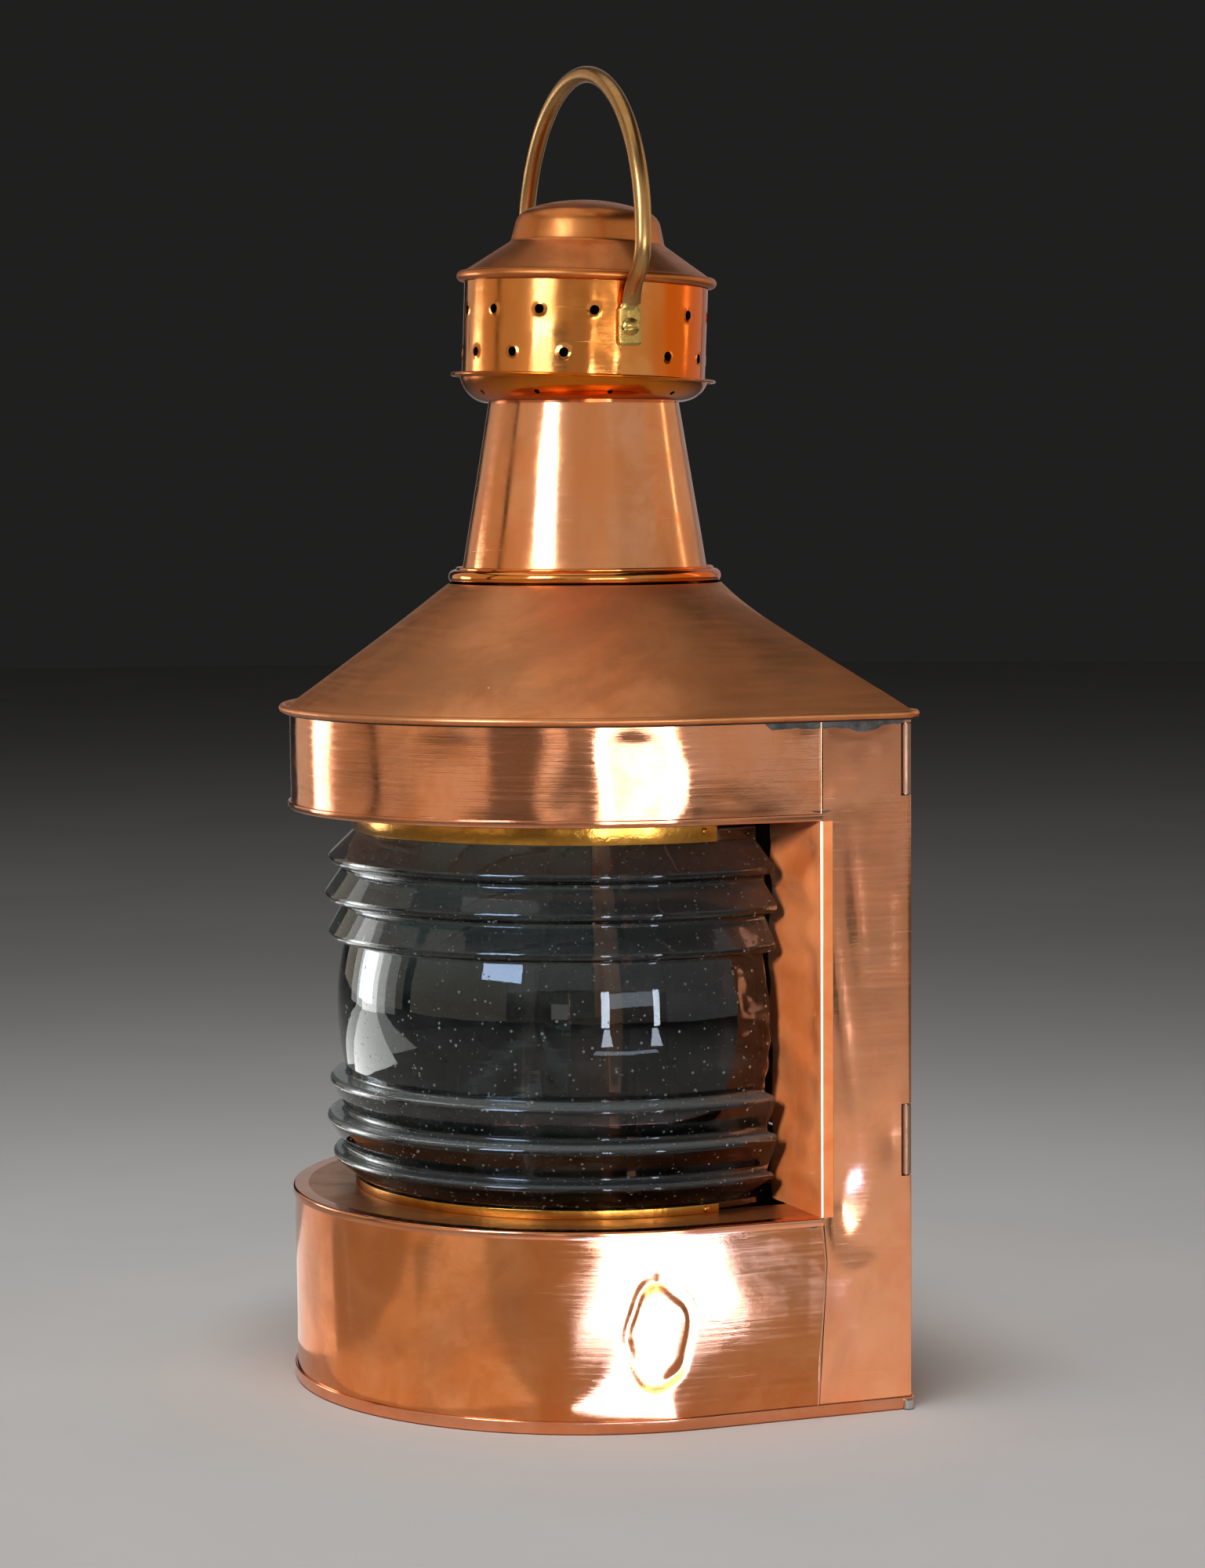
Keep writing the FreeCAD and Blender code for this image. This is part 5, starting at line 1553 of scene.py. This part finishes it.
def make_cap():
    """The spun cap: low dome, drawn wall, sloping skirt and a wired brim."""
    brim_r, low, top = CAP_HIGH.x, CAP_LOW.z, CAP_HIGH.z
    bead = 2.3
    dome = 80.9
    rough = []
    for i in range(11):
        r = 22.0 * i / 10
        rough.append((max(r, 0.01), top - dome + math.sqrt(dome ** 2 - r ** 2), 0.0))
    rough += [
        (30.8, top - 6.3, 8.5),
        (33.8, top - 19.0, 3.0),
        (43.0, top - 25.2, 12.0),
        (brim_r - bead - 0.6, low + 2 * bead - 0.2, 1.5),
        (brim_r - bead, low + 2 * bead, 0.0),
    ]
    outer = line(rounded(rough, 0.0, closed=False, steps=6), 2.0)
    outer += arc(brim_r - bead, low + bead, bead, 84.0, -200.0, 20)
    outer.reverse()
    profile, inner = shell(outer, 0.7)

    def warp(u, r, z):
        return (r / brim_r) * wavy(u, z, 26.0, 0.30, 15.0) if r > 5 else 0.0

    shape = Shape()
    lathe(shape, profile, inner, TURNED_STEPS, warp)
    knock_head(shape)
    add_piece("cap_spun", shape, "case", [COPPER_CAP, SOOT_AND_SHADE], ["cap"], sharp=60.0)


def make_upperworks():
    """Everything above the drum, from the roof to the cap."""
    make_roof()
    make_rim()
    make_bead()
    make_chimney()
    make_pan()
    make_collar()
    make_cap()


# ---------------------------------------------------------------- bail


def bail_path(rod):
    """The middle line of the rod as (x, z): up one side, over the arch and down the other."""
    arch = BAIL_HIGH.x - rod
    arch_z = BAIL_HIGH.z - rod - arch
    tab_low, tab_x = BAIL_LOW.z, 55.4
    knee_z, knee, foot = 499.0, 20.2, 57.6
    half = math.sqrt(knee ** 2 - (knee - (arch - foot) / 2) ** 2)
    tilt = math.asin(half / knee)
    side = []
    for i in range(11):
        a = tilt * i / 10
        side.append((arch - knee * (1 - math.cos(a)), knee_z - knee * math.sin(a)))
    mid_x, mid_z = side[-1]
    for i in range(1, 9):
        a = tilt * (1 - i / 10)
        end_x = mid_x - knee * (math.cos(a) - math.cos(tilt))
        side.append((end_x, mid_z - knee * (math.sin(tilt) - math.sin(a))))
    eased = ((0.9, 471.6), (0.6, 470.7), (0.45, 470.1), (0.35, 469.7), (0.2, 469.2), (0.1, 468.4))
    side += [(tab_x + out, z) for out, z in eased]
    side += [(tab_x, z) for z in (466.8, 464.0, 461.0, 458.0, 455.8, tab_low + 1.0, tab_low + 0.4, tab_low)]
    right = side[::-1] + [(arch, (knee_z + arch_z) / 2)]
    left = [(-x, z) for x, z in right[::-1]]
    over = []
    for degrees in range(0, 181, 3):
        a = math.radians(degrees)
        over.append((arch * math.cos(a), arch_z + arch * math.sin(a)))
    return right + over + left


def make_bail():
    """A round rod bent to an arch, its feet drawn in and hammered flat into square tabs."""
    rod, tab_half, thin = 3.6, 5.2, 1.3
    shoulder_z, drawn_z, drawn = 469.9, 484.0, 14.0
    swell, squareness = 0.7, 0.78
    corner_cut, corner_thinned = 0.8, 0.25
    tab_low = BAIL_LOW.z
    path = bail_path(rod)
    count = 28
    shape = Shape()
    for i, (x, z) in enumerate(path):
        a, b = path[max(i - 1, 0)], path[min(i + 1, len(path) - 1)]
        tangent = Vector((b[0] - a[0], b[1] - a[1])).normalized()
        if z < shoulder_z + 2.0:
            tangent = Vector((0.0, -1.0 if x < 0 else 1.0))
        across = Vector((tangent.y, -tangent.x))
        flat = clamp((drawn_z - z) / drawn)
        flat = flat * flat * (3 - 2 * flat)
        square = clamp((shoulder_z + 1.5 - z) / 2.0)
        half_thick = rod + (thin - rod) * flat
        neck = rod + swell * flat
        half_wide = neck + (tab_half - neck) * clamp((shoulder_z + 0.4 - z) / 1.1)
        corner = max(0.0, 1.0 - (z - tab_low) / 1.0)
        half_wide -= corner_cut * corner
        half_thick -= corner_thinned * corner
        power = 1.0 - squareness * square
        for k in range(count):
            turn = TAU * (k + 0.5) / count
            c, s = math.cos(turn), math.sin(turn)
            c = math.copysign(abs(c) ** power, c)
            s = math.copysign(abs(s) ** power, s)
            uneven = 1.0 + 0.02 * noise_at(x / 9.0, s * 1.5, z / 9.0)
            spot = Vector((x, z)) + across * (half_thick * c * uneven)
            shape.points.append((spot.x, half_wide * s * uneven, spot.y))
    shape.grid(0, len(path), count, around=True)
    shape.caps(0, len(path), count)
    for k, face in enumerate(shape.faces):
        if min(shape.points[corner][2] for corner in face) < shoulder_z + 0.5:
            shape.marks[k] = 1
    add_piece("bail_forged", shape, "bail", [BRONZE, BRASS], ["bail"], sharp=40.0)


def slotted_screw(shape, seat, outward, across, slot_turn, shank):
    """A round-headed screw: a shank, and a domed head cut by a slot, its long side turned."""
    radius, height, rim, half_slot, floor = 3.75, 2.3, 0.7, 0.5, 0.9
    shank_r, tip_r, tip, softened = 2.0, 1.6, 0.5, 0.12
    dome = (radius ** 2 + (height - rim) ** 2) / (2 * (height - rim))
    along, beside = turned(across, outward.cross(across), math.radians(slot_turn))

    def spot(a, b, h):
        return tuple(seat + along * a + beside * b + outward * h)

    def crest(a, b):
        return height - dome + math.sqrt(max(dome ** 2 - a * a - b * b, 0.0))

    start = math.asin(half_slot / radius)
    steps, rows = 20, 7
    for sign in (1.0, -1.0):
        first = len(shape.points)
        for i in range(steps + 1):
            a = start + (math.pi - 2 * start) * i / steps
            end = Vector((radius * math.cos(a), radius * math.sin(a)))
            chord = Vector((end.x, half_slot))
            shape.points.append(spot(chord.x, sign * chord.y, floor))
            for k in range(rows + 1):
                at = chord.lerp(end, k / rows)
                ease = softened if k == 0 else 0.0
                shape.points.append(spot(at.x, sign * at.y, crest(at.x, at.y) - ease))
            shape.points.append(spot(end.x, sign * end.y, 0.0))
        begin = len(shape.faces)
        shape.grid(first, steps + 1, rows + 3)
        if sign > 0:
            shape.flip(begin)
    reach = math.sqrt(radius ** 2 - half_slot ** 2)
    first = len(shape.points)
    slot_steps = 12
    for i in range(slot_steps + 1):
        a = -reach + 2 * reach * i / slot_steps
        shape.points += [spot(a, -half_slot, floor), spot(a, half_slot, floor)]
    shape.grid(first, slot_steps + 1, 2)
    first = len(shape.points)
    levels = ((0.0, shank_r), (-shank + tip, shank_r), (-shank, tip_r))
    for h, r in levels:
        for i in range(steps):
            a = TAU * i / steps
            shape.points.append(spot(r * math.cos(a), r * math.sin(a), h))
    shape.grid(first, len(levels), steps, around=True)
    shape.face(range(first + 2 * steps, first + 3 * steps))


def make_screws():
    """The two screws that the bail swings on, and the turn button's screw."""
    head, radius, ahead = 2.3, 3.75, Vector((0.0, 1.0, 0.0))
    low, high = span("bail_screws")
    shape = Shape()
    for side in (1.0, -1.0):
        outward = Vector((side, 0.0, 0.0))
        seat = outward * (high.x - head) + Vector((0.0, 0.0, low.z + radius))
        slotted_screw(shape, seat, outward, ahead * side, 14.0, 8.9)
    add_piece("bail_screws_slotted", shape, "case", [BRASS], ["bail_screws"], sharp=35.0)
    low, high = span("turn_button_screw")
    seat = Vector(((low.x + high.x) / 2, high.y - head, (low.z + high.z) / 2))
    shape = Shape()
    slotted_screw(shape, seat, ahead, Vector((-1.0, 0.0, 0.0)), 62.0, high.y - head - low.y)
    replaced = ["turn_button_screw"]
    add_piece("button_screw_slotted", shape, "case", [BRASS], replaced, sharp=35.0)


# ---------------------------------------------------------------- lens


def lens_profile():
    """Neck, three prisms, bulging middle, three prisms, neck: one outline of (r, z)."""
    top, low = LENS_HIGH.z, LENS_LOW.z
    inner, neck, notch = 97.0, 102.9, 107.5
    drop = 1.1
    upper = [(117.1, 229.6), (117.9, 213.1), (116.2, 196.4)]
    lower = [(116.2, 134.4), (117.9, 117.7), (116.2, 101.0)]
    points = [(neck, low, 0.6), (neck, low + 3.0, 1.0)]
    for r, z in reversed(lower):
        points += [(r + 0.3, z, 2.4), (notch, z + drop, 2.0)]
    barrel_low, barrel_high = lower[0][1] + drop, upper[-1][1] - drop
    middle, half = (barrel_low + barrel_high) / 2, (barrel_high - barrel_low) / 2
    round_ = 114.0
    centre = notch - math.sqrt(round_ ** 2 - half ** 2)
    bulge = [(centre + math.sqrt(round_ ** 2 - (z - middle) ** 2), z, 0.0)
             for z in (barrel_low + (barrel_high - barrel_low) * i / 22 for i in range(1, 22))]
    points += bulge
    for r, z in reversed(upper):
        points += [(notch, z - drop, 2.0), (r + 0.3, z, 2.4)]
    points += [(neck, top - 5.4, 1.0), (neck, top, 0.6)]
    wall = [(inner, top - (top - low) * i / 40, 0.0) for i in range(41)]
    return rounded(points + wall, 1.0, steps=8)


def make_lens():
    """The lens swept round the front, its two ends chipped."""
    half, chip_depth, degrees_per_mm = 112.5, 4.2, 0.45
    profile = lens_profile()
    stations = round_stations(-half, half, 0.9)
    shape = Shape()
    for i, station in enumerate(stations):
        u = station[4]
        t = 2 * i / (len(stations) - 1) - 1
        near_end = max(0.0, (abs(t) - 0.95) / 0.05)
        for r, z in profile:
            chip = noise_at(r / 8.0, z / 7.0, t)
            chip -= 0.55 * abs(noise_at(r / 3.0, z / 3.0, 7.0))
            ragged = near_end * math.copysign(chip_depth * chip, t) * degrees_per_mm
            r += wavy(u, z, 46.0, 0.10, 21.0) if r > 99.0 else 0.0
            shape.points.append(round_axis(math.radians(half * t + ragged), r, z))
    shape.grid(0, len(stations), len(profile), around=True)
    shape.caps(0, len(stations), len(profile))
    add_piece("lens_pressed", shape, "case", [LENS_GLASS], ["lens"], sharp=50.0)


def tack(shape, outer, azimuth, z):
    """A small round tack on the outer face of a ring."""
    a = math.radians(azimuth)
    levels = ((1.5, 0.0), (1.5, 0.35), (1.1, 0.75), (0.5, 0.95))
    count = 14
    first = len(shape.points)
    for radius, out in levels:
        r = outer + out
        for k in range(count):
            b = TAU * k / count
            side, up = radius * math.cos(b) / r, radius * math.sin(b)
            shape.points.append(round_axis(a + side, r, z + up))
    begin = len(shape.faces)
    shape.grid(first, len(levels), count, around=True)
    shape.flip(begin)
    shape.face(range(first + 3 * count, first + 4 * count))


def make_rings():
    """The brass channels round the lens's necks, each with a tack at its ends."""
    lip_r, inner, outer, lip = 98.0, 103.1, 104.1, 1.0
    top, low = RING_TOP_LOW.z, RING_BOTTOM_LOW.z
    lip_z = top + 5.6
    upper = [
        (outer, top),
        (outer, RING_TOP_HIGH.z),
        (inner, RING_TOP_HIGH.z),
        (inner, lip_z + lip),
        (lip_r, lip_z + lip),
        (lip_r, lip_z),
        (inner, lip_z),
        (inner, top),
    ]
    lower = [
        (lip_r, low),
        (outer, low),
        (outer, RING_BOTTOM_HIGH.z),
        (inner, RING_BOTTOM_HIGH.z),
        (inner, low + lip),
        (lip_r, low + lip),
    ]

    def warp(u, r, z):
        return wavy(u, z, 26.0, 0.22, 31.0) if r > 102 else 0.0

    for name, corners, middle in (
        ("lens_ring_top", upper, (top + RING_TOP_HIGH.z) / 2),
        ("lens_ring_bottom", lower, (low + RING_BOTTOM_HIGH.z) / 2),
    ):
        profile = rounded(corners, 0.25, steps=3)
        shape = Shape()
        sweep(shape, round_stations(-101.0, 101.0, 1.0), profile, warp=warp)
        for azimuth in (-97.5, 97.5):
            tack(shape, outer, azimuth, middle)
        add_piece(f"{name}_channel", shape, "case", [BRASS_RING], [name])


def dress_the_rest():
    """Finishes for the CAD nodes that stay visible."""
    lamp_brass = (
        "filler_cap",
        "burner_collar",
        "burner_body",
        "glass_gallery",
        "wick_tube",
        "winder_shaft",
        "spur_wheels",
        "winder_knob",
    )
    for material, nodes in (
        (TINNED, ("door_hinge_low", "door_hinge_high")),
        (BRASS, ("bail_nuts", "door_knob", "turn_button")),
        (STEEL, ("hinge_pin",)),
        (COPPER_FONT, ("font_body", "font_lid")),
        (BRASS_BURNER, lamp_brass),
        (WICK, ("wick",)),
        (CHIMNEY_GLASS, ("lamp_glass",)),
    ):
        for node in nodes:
            dress(node, material)


make_stage()
make_case()
make_upperworks()
make_bail()
make_screws()
make_lens()
make_rings()
dress_the_rest()
make_linked_lights()
